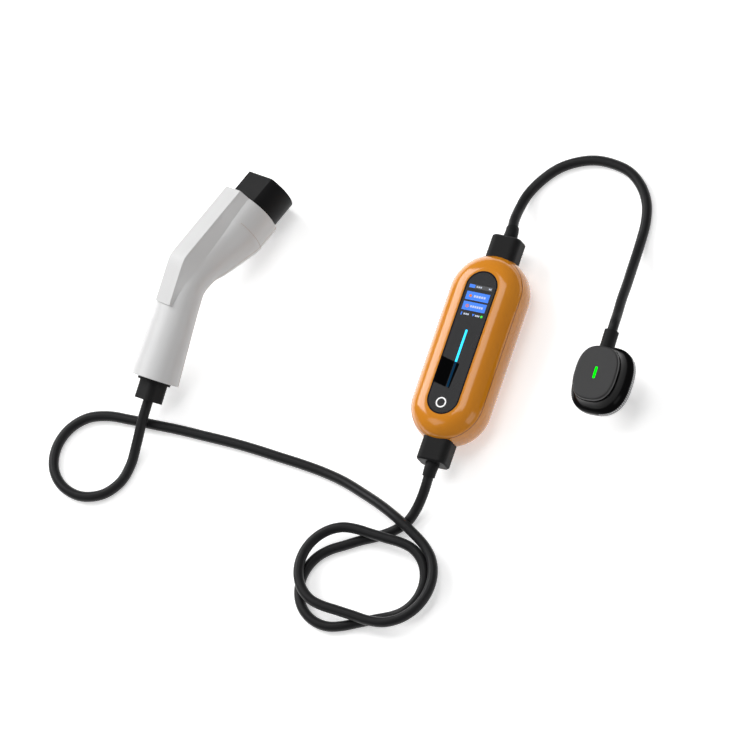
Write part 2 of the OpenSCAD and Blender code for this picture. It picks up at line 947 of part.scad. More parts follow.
module plug_light_board() {
    color(GREEN)
        place_plug()
            translate([0, 0, cap_seat - light_base - light_board_t])
                linear_extrude(light_board_t)
                    light_board_outline(0);
}

relief_neck_d = 2 * (cap_seat - cable_h) - 1;
relief_neck_l = 12;
pin_root = 10;
pin_root_d = pin_d - 0.8;
flange_edge = 1.5;

module at_pins() {
    for (side = [-1, 1])
        translate([side * pin_pitch / 2, 0, 0])
            children();
}

// Strain relief along +Y, grown by a clearance
module relief_form(gap) {
    translate([0, relief_y - gap, cable_h])
        rotate([-90, 0, 0])
            cylinder(d = plug_relief_d + 2 * gap, h = plug_relief_l + 2 * gap);
    translate([0, relief_y - relief_neck_l, cable_h])
        rotate([-90, 0, 0])
            cylinder(d = relief_neck_d + 2 * gap, h = relief_neck_l + 1);
}

module plug_body() {
    color(BLACK)
        place_plug()
            difference() {
                loft([
                    oval_ring(flange_w - 2 * flange_edge, flange_l - 2 * flange_edge, 0),
                    oval_ring(flange_w, flange_l, flange_edge),
                    oval_ring(flange_w, flange_l, flange_t - flange_edge),
                    oval_ring(flange_w - 2 * flange_edge, flange_l - 2 * flange_edge, flange_t),
                    oval_ring(cap_w + 6, cap_l + 5, flange_t + 0.2 * (cap_seat - flange_t)),
                    oval_ring(cap_w + 1, cap_l, flange_t + 0.5 * (cap_seat - flange_t)),
                    oval_ring(cap_w - waist_in, cap_l - waist_in, cap_seat - 2),
                    oval_ring(cap_w - waist_in, cap_l - waist_in, cap_seat)
                ]);
                relief_form(fit_gap);
                translate([0, 0, cap_seat - light_base - light_board_t])
                    linear_extrude(BIG)
                        light_board_outline(fit_gap);
                at_pins()
                    translate([0, 0, -1])
                        cylinder(d = pin_root_d + 2 * fit_gap, h = pin_root + 1);
            }
}

// Round insert that enters the socket, with flats for the earth clips
module plug_base() {
    color(BLACK)
        place_plug()
            translate([0, 0, -insert_l])
                difference() {
                    cylinder(d = insert_d, h = insert_l);
                    at_pins()
                        translate([0, 0, -1])
                            cylinder(d = pin_root_d + 2 * fit_gap, h = insert_l + 2);
                    for (side = [-1, 1])
                        translate([-clip_w / 2 - fit_gap, side * (clip_y - clip_t / 2) - clip_t / 2 - fit_gap, -1])
                            cube([clip_w + 2 * fit_gap, clip_t + 2 * fit_gap, insert_l + 2]);
                }
}

module plug_pins() {
    color(STEEL)
        place_plug()
            at_pins()
                translate([0, 0, -insert_l]) {
                    translate([0, 0, pin_d / 2 - pin_l])
                        cylinder(d = pin_d, h = pin_l - pin_d / 2);
                    translate([0, 0, pin_d / 2 - pin_l])
                        sphere(d = pin_d);
                    translate([0, 0, -1])
                        cylinder(d = pin_root_d, h = insert_l + pin_root + 1);
                }
}

module earth_clips() {
    color(BRASS)
        place_plug()
            for (side = [-1, 1])
                translate([-clip_w / 2, side * (clip_y - clip_t / 2) - clip_t / 2, -insert_l])
                    cube([clip_w, clip_t, insert_l]);
}

module plug_relief() {
    color(RUBBER)
        place_plug()
            relief_form(0);
}

module coil_outline(r) {
    for (side = [-1, 1])
        translate([side * coil_straight / 2, 0])
            circle(r);
    square([coil_straight, 2 * r], center = true);
}

module coil_solid(outer, inner) {
    translate([coil_pos[0], coil_pos[1], 0])
        rotate([0, 0, coil_turn])
            linear_extrude(coil_h)
                difference() {
                    coil_outline(outer);
                    if (inner > 0)
                        coil_outline(inner);
                }
}

module mains_lead() {
    color(RUBBER)
        loft(tube_rings(LEAD, cable_r));
}

module charging_cable_run() {
    color(RUBBER)
        difference() {
            loft(tube_rings(RUN, cable_r));
            coil_solid(coil_r + coil_ring / 2, 0);
        }
}

module charging_cable_coil() {
    color(RUBBER)
        coil_solid(coil_r + coil_ring / 2, coil_r - coil_ring / 2);
}

module charging_cable_tail() {
    color(RUBBER)
        difference() {
            loft(tube_rings(TAIL, cable_r));
            coil_solid(coil_r + coil_ring / 2, 0);
        }
}

front_shell();
rear_shell();
shell_seal();
shell_screws();
display_panel();
display_module();
light_bar();
touch_sensor();
main_board();
board_screws();
power_relays();
power_supply();
leakage_sensor();
terminal_blocks();
upper_gland();
lower_gland();
gland_nuts();
connector_shell_left();
connector_shell_right();
connector_nose();
nose_seal();
power_sleeves();
signal_sleeves();
contact_carrier();
handle_end_cap();
cable_clamp();
connector_gland();
connector_screws();
plug_cap();
plug_light();
plug_light_board();
plug_body();
plug_base();
plug_pins();
earth_clips();
plug_relief();
mains_lead();
charging_cable_run();
charging_cable_coil();
charging_cable_tail();
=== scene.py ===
"""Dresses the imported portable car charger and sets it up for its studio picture.

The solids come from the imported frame. This script adds the cables, the smooth outer forms, the printed
display, the small trim and all materials. Sizes are in millimetres, as in the part's own source, unless a
docstring says otherwise.
"""

import logging
import math
from dataclasses import dataclass, field, replace
from enum import Enum
from typing import Any, Iterable, Sequence

import bmesh
import bpy
from mathutils import Matrix, Vector


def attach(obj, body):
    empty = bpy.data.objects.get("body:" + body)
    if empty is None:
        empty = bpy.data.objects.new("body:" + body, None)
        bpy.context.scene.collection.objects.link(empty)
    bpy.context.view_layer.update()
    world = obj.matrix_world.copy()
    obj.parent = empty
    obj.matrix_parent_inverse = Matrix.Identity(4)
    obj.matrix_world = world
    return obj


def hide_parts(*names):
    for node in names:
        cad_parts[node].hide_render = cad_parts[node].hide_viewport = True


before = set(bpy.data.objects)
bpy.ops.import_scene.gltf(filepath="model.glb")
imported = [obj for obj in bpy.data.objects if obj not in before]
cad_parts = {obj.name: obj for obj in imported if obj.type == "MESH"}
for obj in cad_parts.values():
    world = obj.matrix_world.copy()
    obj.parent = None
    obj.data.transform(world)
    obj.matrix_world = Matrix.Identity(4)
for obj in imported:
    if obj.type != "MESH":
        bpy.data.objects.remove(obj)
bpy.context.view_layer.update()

LOG = logging.getLogger("charger")
MM = 0.001
BODY = "root"

# The sRGB curve: straight up to the knee, then a power
SRGB_KNEE = 0.04045
SRGB_SLOPE = 12.92
SRGB_OFFSET = 0.055
SRGB_POWER = 2.4

# Inputs of a colour mix node: the share, the colour at none of it and the colour at all of it
MIX_SHARE = 0
MIX_FIRST = 6
MIX_SECOND = 7

# Exponent that lets a curve pass through uneven points without overshooting
CENTRIPETAL = 0.5

# Upward share of a direction past which a tube is squared up against X in place of Z
STEEP = 0.9

# Turn between neighbouring points of the coil's arcs, in degrees
ARC_STEP = 20

Outline = list[tuple[float, float]]


class Slot(Enum):
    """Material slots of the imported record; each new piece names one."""

    ORANGE = "orange_gloss_plastic"
    PANEL = "dark_panel"
    DISPLAY = "display_glass"
    RUBBER = "black_rubber"
    WHITE = "white_satin_plastic"
    PLUG = "plug_gloss_plastic"
    CAP = "plug_cap_plastic"
    CABLE = "cable_rubber"


def metres(point: Sequence[float]) -> Vector:
    """Turns a point in millimetres into one in metres."""
    return Vector(point) * MM


def linear(code: str) -> tuple[float, float, float, float]:
    """Turns an sRGB hex colour into Blender's linear colour.

    Args:
        code: A colour such as "#d98a1f".

    Returns:
        Red, green, blue and alpha, in linear light.
    """
    parts = [int(code[i:i + 2], 16) / 255 for i in (1, 3, 5)]
    scale = 1 + SRGB_OFFSET
    line = [
        c / SRGB_SLOPE if c <= SRGB_KNEE else ((c + SRGB_OFFSET) / scale) ** SRGB_POWER for c in parts
    ]
    return (*line, 1.0)


def add_node(
    tree: bpy.types.NodeTree,
    kind: str,
    settings: dict[str, Any] | None = None,
    inputs: dict[Any, Any] | None = None,
) -> bpy.types.Node:
    """Adds a node with its settings, and links or sets its inputs.

    Args:
        tree: The node tree that gets the node.
        kind: The node's type name.
        settings: Attributes to set on the node.
        inputs: Values or output sockets, by input name or index.

    Returns:
        The new node.
    """
    node = tree.nodes.new(kind)
    for name, value in (settings or {}).items():
        setattr(node, name, value)
    for key, value in (inputs or {}).items():
        if isinstance(value, bpy.types.NodeSocket):
            tree.links.new(value, node.inputs[key])
        else:
            node.inputs[key].default_value = value
    return node


def colour_output(node: bpy.types.Node) -> bpy.types.NodeSocket:
    """Gives a colour mix node's colour output."""
    return next(o for o in node.outputs if o.type == "RGBA")


@dataclass(frozen=True)
class Finish:
    """A moulded or drawn surface: its colour, gloss and fine grain.

    The colour drifts a little over a hand's width, the roughness follows a fine grain, and a bump gives the
    mould's texture, as on a real moulding. The grain is drawn several times coarser than a real mould's,
    which would be too fine to show.
    """

    name: str
    colour: str
    drift: str
    roughness: float
    grain_mm: float = 0.8
    bump_mm: float = 0.02
    spread: float = 0.06
    drift_mm: float = 45.0
    metallic: float = 0.0
    coat: float = 0.0
    ior: float = 1.5
    glow: float = 0.0
    grain_detail: float = 4.0
    bump_strength: float = 0.6
    coat_roughness: float = 0.06
    least_roughness: float = 0.02

    def build(self) -> bpy.types.Material:
        """Builds the finish as a node material.

        Returns:
            The finished material.
        """
        material = bpy.data.materials.new(self.name)
        material.use_nodes = True
        tree = material.node_tree
        shader = tree.nodes["Principled BSDF"]
        place = add_node(tree, "ShaderNodeTexCoord").outputs["Object"]
        broad = add_node(tree, "ShaderNodeTexNoise", {}, {"Vector": place, "Scale": 1 / (self.drift_mm * MM)})
        fine = add_node(tree, "ShaderNodeTexNoise", {}, {
            "Vector": place, "Scale": 1 / (self.grain_mm * MM), "Detail": self.grain_detail
        })
        tint = add_node(tree, "ShaderNodeMix", {"data_type": "RGBA"}, {
            MIX_SHARE: broad.outputs["Fac"], MIX_FIRST: linear(self.colour), MIX_SECOND: linear(self.drift)
        })
        tree.links.new(colour_output(tint), shader.inputs["Base Color"])
        gloss = add_node(tree, "ShaderNodeMapRange", {}, {
            "Value": fine.outputs["Fac"],
            "To Min": max(self.roughness - self.spread, self.least_roughness),
            "To Max": self.roughness + self.spread,
        })
        tree.links.new(gloss.outputs["Result"], shader.inputs["Roughness"])
        bump = add_node(tree, "ShaderNodeBump", {}, {
            "Height": fine.outputs["Fac"], "Strength": self.bump_strength, "Distance": self.bump_mm * MM
        })
        tree.links.new(bump.outputs["Normal"], shader.inputs["Normal"])
        shader.inputs["Metallic"].default_value = self.metallic
        shader.inputs["IOR"].default_value = self.ior
        shader.inputs["Coat Weight"].default_value = self.coat
        shader.inputs["Coat Roughness"].default_value = self.coat_roughness
        if self.glow:
            shader.inputs["Emission Color"].default_value = linear(self.colour)
            shader.inputs["Emission Strength"].default_value = self.glow
        return material


@dataclass(frozen=True)
class LightGuideFinish:
    """A lit plastic bar, bright along its upper part; below, a painted dark reflection darkens it."""

    name: str
    bright: str
    reflection_dark: str
    edge_y: float
    glow: float
    ior: float = 1.5
    blur: float = 0.4
    roughness: float = 0.3

    def build(self) -> bpy.types.Material:
        """Builds the bar's material, with the change to the painted dark reflection at a place along Y.

        Returns:
            The finished material.
        """
        material = bpy.data.materials.new(self.name)
        material.use_nodes = True
        tree = material.node_tree
        shader = tree.nodes["Principled BSDF"]
        place = add_node(tree, "ShaderNodeTexCoord").outputs["Object"]
        split = add_node(tree, "ShaderNodeSeparateXYZ", {}, {"Vector": place})
        # Share of the bright colour: below edge_y the bar takes the painted dark reflection's dark blue
        lit = add_node(tree, "ShaderNodeMapRange", {}, {
            "Value": split.outputs["Y"],
            "From Min": (self.edge_y - self.blur) * MM,
            "From Max": (self.edge_y + self.blur) * MM,
        })
        tint = add_node(tree, "ShaderNodeMix", {"data_type": "RGBA"}, {
            MIX_SHARE: lit.outputs["Result"], MIX_FIRST: linear(self.reflection_dark), MIX_SECOND: linear(self.bright)
        })
        colour = colour_output(tint)
        tree.links.new(colour, shader.inputs["Base Color"])
        tree.links.new(colour, shader.inputs["Emission Color"])
        shader.inputs["Emission Strength"].default_value = self.glow
        shader.inputs["Roughness"].default_value = self.roughness
        shader.inputs["IOR"].default_value = self.ior
        return material


# An IOR under a plastic's usual 1.5 is matched to the object: its dark pieces mirror little of the ground

# High-gloss ABS, moulded and polished: sharp reflections over a deep warm colour
ORANGE_ABS = Finish("gloss_orange_abs", "#d6820f", "#d98a1c", 0.14, 1.2, 0.006, 0.03, coat=0.1)
# The shadow in the joint between the half shells: a dull line, darker than the shells
JOINT_ABS = Finish("orange_abs_joint", "#8a4f0a", "#7c4608", 0.5)
# Polycarbonate window, printed dark from behind: smooth and glossy
PANEL_PC = Finish("dark_printed_polycarbonate", "#262628", "#222224", 0.2, 1.0, 0.004, 0.03, coat=0.25)
# The dark print that frames the window: matt, so it keeps its navy beside the window's sheen
FRAME_PC = Finish("navy_printed_polycarbonate", "#081521", "#06111b", 0.6, ior=1.08)
# The window's black field, a painted dark reflection on the glossy window: matt with hardly any sheen, so it
# reads as black
DARK_REFLECTION_PC = Finish("painted_dark_reflection", "#020203", "#030304", 0.6, 1.0, 0.003, 0.02, ior=1.06)
# Soft rubber of glands and reliefs, moulded with a spark texture: dull and even
GLAND_RUBBER = Finish("moulded_black_rubber", "#1d1d1e", "#222222", 0.45, 0.7, 0.03, ior=1.16)
# Cable jacket of extruded thermoplastic rubber: satin, with a soft light line along its top
JACKET_RUBBER = Finish("extruded_black_jacket", "#202021", "#242425", 0.36, 0.9, 0.03, ior=1.22)
# Satin polycarbonate blend of the connector: broad soft highlights and no mirror image
WHITE_PC = Finish("satin_white_polycarbonate", "#cfcfcf", "#cacaca", 0.34, 0.6, 0.012)
# The joints of the connector's mouldings: warm grey hairlines
WHITE_JOINT = Finish("white_polycarbonate_joint", "#b39c8c", "#a99384", 0.6)
# Glass-filled nylon of nose, nuts and insert: matt and slightly grainy
NYLON = Finish("matte_black_nylon", "#0f0f10", "#131314", 0.5, 0.6, 0.04, ior=1.2)
# Gloss ABS of the plug's bell: near black, with narrow highlights on its flare
PLUG_ABS = Finish("gloss_black_abs", "#060607", "#09090a", 0.18, 1.0, 0.008, 0.04, ior=1.2)
# Fine-textured ABS of the plug's cap: an even dark grey
CAP_ABS = Finish("textured_grey_abs", "#252526", "#222223", 0.48, 0.5, 0.02, ior=1.42)
# Pale grey grip ribs: real ribs whose pale colour is a painted highlight, for the sheen along the flange's
# side wall; a row of light ticks on the dark flange
RIB_HIGHLIGHT = Finish("rib_painted_highlight", "#c2c2c3", "#b6b6b7", 0.4)
# Nickel-plated steel: pale, with soft reflections
STEEL = Finish("nickel_plated_steel", "#b9bcc0", "#aeb1b5", 0.28, 0.5, 0.01, metallic=1.0)
# Turned brass: warm yellow, with soft reflections
BRASS = Finish("turned_brass", "#c9a85a", "#bd9c50", 0.3, 0.5, 0.01, metallic=1.0)
# Solder mask over glass-fibre board: satin green
BOARD = Finish("green_circuit_board", "#1f5a33", "#1a4d2b", 0.4, 0.6, 0.02)
# Epoxy-potted components: dull dark grey
COMPONENT = Finish("component_epoxy", "#25282e", "#2c2f36", 0.5)
# Lit picture elements of the display: flat colours with a little glow
LCD_BLUE = Finish("display_blue", "#2f77e6", "#2b70dd", 0.3, glow=0.35)
LCD_WHITE = Finish("display_white", "#c3cbdc", "#bcc5d8", 0.3, ior=1.2, glow=0.25)
LCD_ORANGE = Finish("display_orange", "#e8820f", "#e07c0a", 0.3, ior=1.2, glow=0.15)
LCD_GREEN = Finish("display_green", "#34d63c", "#2cc835", 0.3, glow=0.5)
LCD_GREY = Finish("display_grey", "#47484b", "#434447", 0.3, glow=0.05)
# White print of the touch ring, lit from behind: clear white on the dark window
TOUCH_WHITE = Finish("touch_white_print", "#f2f2f2", "#ececec", 0.35, glow=0.25)
# Acrylic light guide in the plug's cap, lit over its whole length: bright green without a sheen
PLUG_GREEN = Finish("lit_green_guide", "#00f506", "#00f506", 0.3, ior=1.05, glow=0.9)
# Acrylic light guide of the box: bright cyan along its upper part, and dark blue below, where a painted dark
# reflection lies over the lit guide
BAR_CYAN = LightGuideFinish("lit_cyan_guide", "#35d0ff", "#06243a", -21.9, 0.9, ior=1.06)
# Plain studio paper under everything: matt white
FLOOR_PAPER = Finish("pale_floor_paper", "#ffffff", "#fdfdfd", 0.8, bump_mm=0.0)


class Workshop:
    """Keeps the built materials and puts finished meshes into the scene."""

    def __init__(self) -> None:
        """Starts with no material built."""
        self._built: dict[str, bpy.types.Material] = {}

    def material(self, finish: Finish | LightGuideFinish) -> bpy.types.Material:
        """Gives a finish's material, built once.

        Args:
            finish: The finish to build.

        Returns:
            Its material.
        """
        if finish.name not in self._built:
            self._built[finish.name] = finish.build()
        return self._built[finish.name]

    def dress(self, finish: Finish | LightGuideFinish, *names: str) -> list[bpy.types.Object]:
        """Gives CAD nodes a finish.

        Args:
            finish: The finish they get.
            *names: Names of the nodes.

        Returns:
            The nodes' objects.
        """
        nodes = [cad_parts[name] for name in names]
        for node in nodes:
            node.data.materials.clear()
            node.data.materials.append(self.material(finish))
        return nodes

    def place(
        self,
        name: str,
        mesh: bpy.types.Mesh,
        finish: Finish | LightGuideFinish,
        slot: Slot,
        stands_for: Iterable[str] = (),
        sharp_deg: float = 32.0,
    ) -> bpy.types.Object:
        """Puts a mesh into the scene as a piece of the charger.

        Args:
            name: The piece's name.
            mesh: Its mesh, in metres in the shared frame.
            finish: The finish it gets.
            slot: The record's slot for it; not used.
            stands_for: CAD nodes that it replaces.
            sharp_deg: Edges that turn more than this stay sharp.

        Returns:
            The new object.
        """
        mesh.name = name
        mesh.shade_smooth()
        mesh.set_sharp_from_angle(angle=math.radians(sharp_deg))
        mesh.materials.append(self.material(finish))
        piece = bpy.data.objects.new(name, mesh)
        bpy.context.scene.collection.objects.link(piece)
        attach(piece, BODY)
        if stands_for:
            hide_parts(*stands_for)
        LOG.info("%s: %d faces", name, len(mesh.polygons))
        return piece


def flat_loop(form: bmesh.types.BMesh, outline: Outline, z: float) -> list[bmesh.types.BMVert]:
    """Adds an outline's vertices to a form, at a height."""
    return [form.verts.new(metres((x, y, z))) for x, y in outline]


def join_loops(
    form: bmesh.types.BMesh, low: Sequence[bmesh.types.BMVert], high: Sequence[bmesh.types.BMVert]
) -> None:
    """Adds a closed band of quads between two loops of vertices.

    Args:
        form: The form that gets the quads.
        low: The vertices of one loop.
        high: As many vertices of the other loop.
    """
    for i in range(len(low)):
        k = (i + 1) % len(low)
        form.faces.new((low[i], low[k], high[k], high[i]))


def finished_mesh(form: bmesh.types.BMesh, name: str) -> bpy.types.Mesh:
    """Turns a form's faces outwards and makes it a mesh.

    Args:
        form: The form, which is freed.
        name: The mesh's name.

    Returns:
        The mesh.
    """
    bmesh.ops.recalc_face_normals(form, faces=form.faces)
    mesh = bpy.data.meshes.new(name)
    form.to_mesh(mesh)
    form.free()
    return mesh


def loft_mesh(rings: Sequence[Sequence[Sequence[float]]], closed: bool = False) -> bpy.types.Mesh:
    """Joins rings of equal point count by quads.

    Args:
        rings: The rings, in millimetres.
        closed: Whether the last ring joins the first one again, in place of two end faces.

    Returns:
        A mesh in metres with its faces pointing outwards.
    """
    form = bmesh.new()
    rows = [[form.verts.new(metres(p)) for p in ring] for ring in rings]
    for low, high in zip(rows, rows[1:]):
        join_loops(form, low, high)
    if closed:
        join_loops(form, rows[-1], rows[0])
    else:
        form.faces.new(list(reversed(rows[0])))
        form.faces.new(rows[-1])
    return finished_mesh(form, "loft")


def plate_mesh(
    outlines: Sequence[Outline], low: float, high: float, bands: Sequence[tuple[Outline, Outline]] = ()
) -> bpy.types.Mesh:
    """Makes flat plates from convex outlines, and flat bands between two outlines.

    Args:
        outlines: Outlines in x and y, in millimetres.
        low: Height of their undersides.
        high: Height of their tops.
        bands: Pairs of an outer and an inner outline with the same number of points.

    Returns:
        One mesh of all plates and bands, in metres.
    """
    form = bmesh.new()
    for outline in outlines:
        bottom, top = flat_loop(form, outline, low), flat_loop(form, outline, high)
        form.faces.new(list(reversed(bottom)))
        form.faces.new(top)
        join_loops(form, bottom, top)
    for outer, inner in bands:
        edges = ((inner, low), (outer, low), (outer, high), (inner, high))
        loops = [flat_loop(form, outline, z) for outline, z in edges]
        for first, second in zip(loops, loops[1:] + loops[:1]):
            join_loops(form, first, second)
    return finished_mesh(form, "plate")


def smooth_route(points: Sequence[Sequence[float]], steps: int = 8) -> list[Vector]:
    """Runs one smooth curve through all points.

    Args:
        points: The route's points.
        steps: Points that each stretch is divided into.

    Returns:
        The curve's points, ends included.
    """
    spots = [Vector(point) for point in points]
    before = spots[0] * 2 - spots[1]
    after = spots[-1] * 2 - spots[-2]
    ends = [before, *spots, after]
    curve = []
    for a, b, c, d in zip(ends, ends[1:], ends[2:], ends[3:]):
        t1 = (b - a).length ** CENTRIPETAL
        t2 = t1 + (c - b).length ** CENTRIPETAL
        t3 = t2 + (d - c).length ** CENTRIPETAL
        for i in range(steps):
            t = t1 + (t2 - t1) * i / steps
            p = a * ((t1 - t) / t1) + b * (t / t1)
            q = b * ((t2 - t) / (t2 - t1)) + c * ((t - t1) / (t2 - t1))
            r = c * ((t3 - t) / (t3 - t2)) + d * ((t - t2) / (t3 - t2))
            u = p * ((t2 - t) / t2) + q * (t / t2)
            v = q * ((t3 - t) / (t3 - t1)) + r * ((t - t1) / (t3 - t1))
            curve.append(u * ((t2 - t) / (t2 - t1)) + v * ((t - t1) / (t2 - t1)))
    curve.append(spots[-1])
    return curve


def tube_mesh(
    route: Sequence[Vector],
    radius: float,
    sides: int = 8,
    closed: bool = False,
    end_radius: float | None = None,
) -> bpy.types.Mesh:
    """Makes a round line along a route, thin or thick.

    Args:
        route: The route's points, in millimetres.
        radius: The line's radius, in millimetres.
        sides: Points around the line.
        closed: Whether the route joins its start again.
        end_radius: The radius at the route's end, where the line tapers.

    Returns:
        The line's mesh, in metres.
    """
    rings = []
    count = len(route)
    taper = 0.0 if end_radius is None else (end_radius - radius) / (count - 1)
    for i, point in enumerate(route):
        reach = radius + taper * i
        before = route[i - 1] if closed or i else point
        after = route[(i + 1) % count] if closed or i < count - 1 else point
        along = (after - before).normalized()
        helper = Vector((0, 0, 1)) if abs(along.z) < STEEP else Vector((1, 0, 0))
        across = along.cross(helper).normalized()
        up = across.cross(along)
        turns = [2 * math.pi * k / sides for k in range(sides)]
        rings.append([point + reach * (math.cos(g) * across + math.sin(g) * up) for g in turns])
    return loft_mesh(rings, closed)


@dataclass(frozen=True)
class SoftLight:
    """A square soft light: its name, its place and side in metres, and its power in watts."""

    name: str
    place: tuple[float, float, float]
    side: float
    watts: float


@dataclass
class Studio:
    """Camera, floor and soft light, matched to the photograph's view.

    The camera's distance, the floor's half side and the point that the lights aim at are in metres.
    """

    mm_per_pixel: float = 1.05
    image_pixels: int = 750
    right: Vector = field(default_factory=lambda: Vector((0.8854, 0.3134, -0.3433)))
    up: Vector = field(default_factory=lambda: Vector((-0.1821, 0.9133, 0.3643)))
    towards: Vector = field(default_factory=lambda: Vector((0.4277, -0.2601, 0.8657)))
    origin_pixel: tuple[float, float] = (479.6, 361.0)
    distance: float = 2.5
    floor_half: float = 6.0
    floor_lift: float = 0.45
    mirrored_lift: float = 0.9
    surround: float = 0.27
    aim_point: tuple[float, float, float] = (-0.1, -0.03, 0.02)
    soft_lights: tuple[SoftLight, ...] = (
        SoftLight("key_left", (-3.2, 1.0, 2.3), 2.6, 124),
        SoftLight("top_back", (-0.1, 0.85, 2.9), 1.5, 22),
        SoftLight("side_right", (3.2, -1.0, 1.6), 1.8, 14),
        SoftLight("front_left", (-1.35, -1.2, 2.5), 1.2, 8),
    )

    def camera(self) -> None:
        """Makes the camera, with the frame's origin at its pixel of the photograph."""
        data = bpy.data.cameras.new("camera")
        data.type = "ORTHO"
        data.ortho_scale = self.image_pixels * self.mm_per_pixel * MM
        half = self.image_pixels / 2
        across = (half - self.origin_pixel[0]) * self.mm_per_pixel * MM
        along = (self.origin_pixel[1] - half) * self.mm_per_pixel * MM
        place = self.right * across + self.up * along + self.towards * self.distance
        camera = bpy.data.objects.new("camera", data)
        turn = Matrix((self.right, self.up, self.towards)).transposed()
        camera.matrix_world = Matrix.Translation(place) @ turn.to_4x4()
        bpy.context.scene.collection.objects.link(camera)
        bpy.context.scene.camera = camera

    def floor(self) -> None:
        """Lays a pale plain floor under everything.

        The camera and reflections alone see the floor's lift. So shadows stay faint, gloss mirrors a white
        ground, and the light that falls on the object stays the same.
        """
        half = self.floor_half
        mesh = bpy.data.meshes.new("floor")
        corners = [(-half, -half, 0), (half, -half, 0), (half, half, 0), (-half, half, 0)]
        mesh.from_pydata(corners, [], [(0, 1, 2, 3)])
        paper = FLOOR_PAPER.build()
        tree = paper.node_tree
        shader = tree.nodes["Principled BSDF"]
        ray = add_node(tree, "ShaderNodeLightPath").outputs
        seen = add_node(tree, "ShaderNodeMath", {"operation": "MULTIPLY"}, {
            0: ray["Is Camera Ray"], 1: self.floor_lift
        })
        lift = add_node(tree, "ShaderNodeMath", {"operation": "MULTIPLY_ADD"}, {
            0: ray["Is Glossy Ray"], 1: self.mirrored_lift, 2: seen.outputs["Value"]
        })
        tree.links.new(lift.outputs["Value"], shader.inputs["Emission Strength"])
        shader.inputs["Emission Color"].default_value = linear(FLOOR_PAPER.colour)
        mesh.materials.append(paper)
        floor = bpy.data.objects.new("floor", mesh)
        bpy.context.scene.collection.objects.link(floor)

    def light(self, light: SoftLight) -> None:
        """Hangs a soft light that points at the charger.

        Args:
            light: The light to hang.
        """
        data = bpy.data.lights.new(light.name, "AREA")
        data.size = light.side
        data.energy = light.watts
        lamp = bpy.data.objects.new(light.name, data)
        lamp.location = light.place
        aim = Vector(self.aim_point) - Vector(light.place)
        lamp.rotation_euler = aim.to_track_quat("-Z", "Y").to_euler()
        bpy.context.scene.collection.objects.link(lamp)

    def lights(self) -> None:
        """Sets the white surroundings and the soft lights."""
        world = bpy.data.worlds.new("studio")
        world.use_nodes = True
        background = world.node_tree.nodes["Background"]
        background.inputs["Color"].default_value = linear("#ffffff")
        background.inputs["Strength"].default_value = self.surround
        bpy.context.scene.world = world
        for light in self.soft_lights:
            self.light(light)
        bpy.context.scene.view_settings.view_transform = "Standard"

    def build(self) -> None:
        """Sets up camera, floor and lights."""
        self.camera()
        self.floor()
        self.lights()


@dataclass
class ConnectorPose:
    """How the connector lies: bend point, heading, pitch and roll, as in the part's source."""

    bend_point: tuple[float, float, float] = (-328.0, -13.3, 56.107)
    heading: float = 72.8
    pitch: float = 10.5
    roll: float = -23.0

    def matrix(self) -> Matrix:
        """Gives the move from the connector's own frame to the shared one.

        Returns:
            The move, in millimetres.
        """
        turn = (
            Matrix.Rotation(math.radians(self.heading), 4, "Z")
            @ Matrix.Rotation(math.radians(self.pitch), 4, "Y")
            @ Matrix.Rotation(math.radians(self.roll), 4, "X")
        )
        return Matrix.Translation(Vector(self.bend_point)) @ turn


@dataclass
class PlugPose:
    """How the plug stands on its pins: place of its flange's underside and turn."""

    place: tuple[float, float, float] = (163.7, -5.9, 34.0)
    turn: float = 2.0

    def matrix(self) -> Matrix:
        """Gives the move from the plug's own frame to the shared one."""
        return Matrix.Translation(Vector(self.place)) @ Matrix.Rotation(math.radians(self.turn), 4, "Z")


@dataclass
class Cable:
    """One free cable: its route, from where it leaves the box to its far end."""

    name: str
    route: list[Vector]
    diameter: float
    far_end: str
    lay: str
    stands_for: tuple[str, ...]
    bevel_steps: int = 6
    sleeve_sides: int = 40
    sleeve_crease_deg: float = 50.0

    def build(self, shop: Workshop) -> bpy.types.Object:
        """Makes the cable as one smooth curve.

        Args:
            shop: The workshop that holds the materials.

        Returns:
            The cable's object.
        """
        curve = bpy.data.curves.new(self.name, "CURVE")
        curve.dimensions = "3D"
        curve.bevel_depth = self.diameter / 2 * MM
        curve.bevel_resolution = self.bevel_steps
        curve.use_fill_caps = True
        spline = curve.splines.new("POLY")
        spline.points.add(len(self.route) - 1)
        for spot, point in zip(spline.points, self.route):
            spot.co = (*metres(point), 1.0)
        spline.use_smooth = True
        curve.materials.append(shop.material(JACKET_RUBBER))
        cable = bpy.data.objects.new(self.name, curve)
        bpy.context.scene.collection.objects.link(cable)
        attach(cable, BODY)
        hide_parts(*self.stands_for)
        LOG.info("%s: %.0f mm", self.name, self.length())
        return cable

    def sleeve(self, shop: Workshop, length: float = 15.0, wall: float = 2.2, end_wall: float = 1.3) -> None:
        """Puts a tapered rubber sleeve on the cable's first stretch, against the gland.

        Args:
            shop: The workshop that holds the materials.
            length: The sleeve's length.
            wall: Its wall at the gland.
            end_wall: Its wall at the far end.
        """
        route = [self.route[0]]
        far = 0.0
        for point in self.route[1:]:
            far += (point - route[-1]).length
            if far > length:
                break
            route.append(point)
        core = self.diameter / 2
        mesh = tube_mesh(route, core + wall, sides=self.sleeve_sides, end_radius=core + end_wall)
        name = f"{self.name}_sleeve"
        shop.place(name, mesh, GLAND_RUBBER, Slot.RUBBER, sharp_deg=self.sleeve_crease_deg)

    def length(self) -> float:
        """Gives the route's length in millimetres."""
        return sum((b - a).length for a, b in zip(self.route, self.route[1:]))

    def declare(self, cable: bpy.types.Object, pieces: Sequence[bpy.types.Object]) -> None:
        """Works out the cable's length in metres, and keeps nothing.

        Args:
            cable: The cable's object; not used.
            pieces: The pieces on its far end; not used.
        """
        self.length() * MM


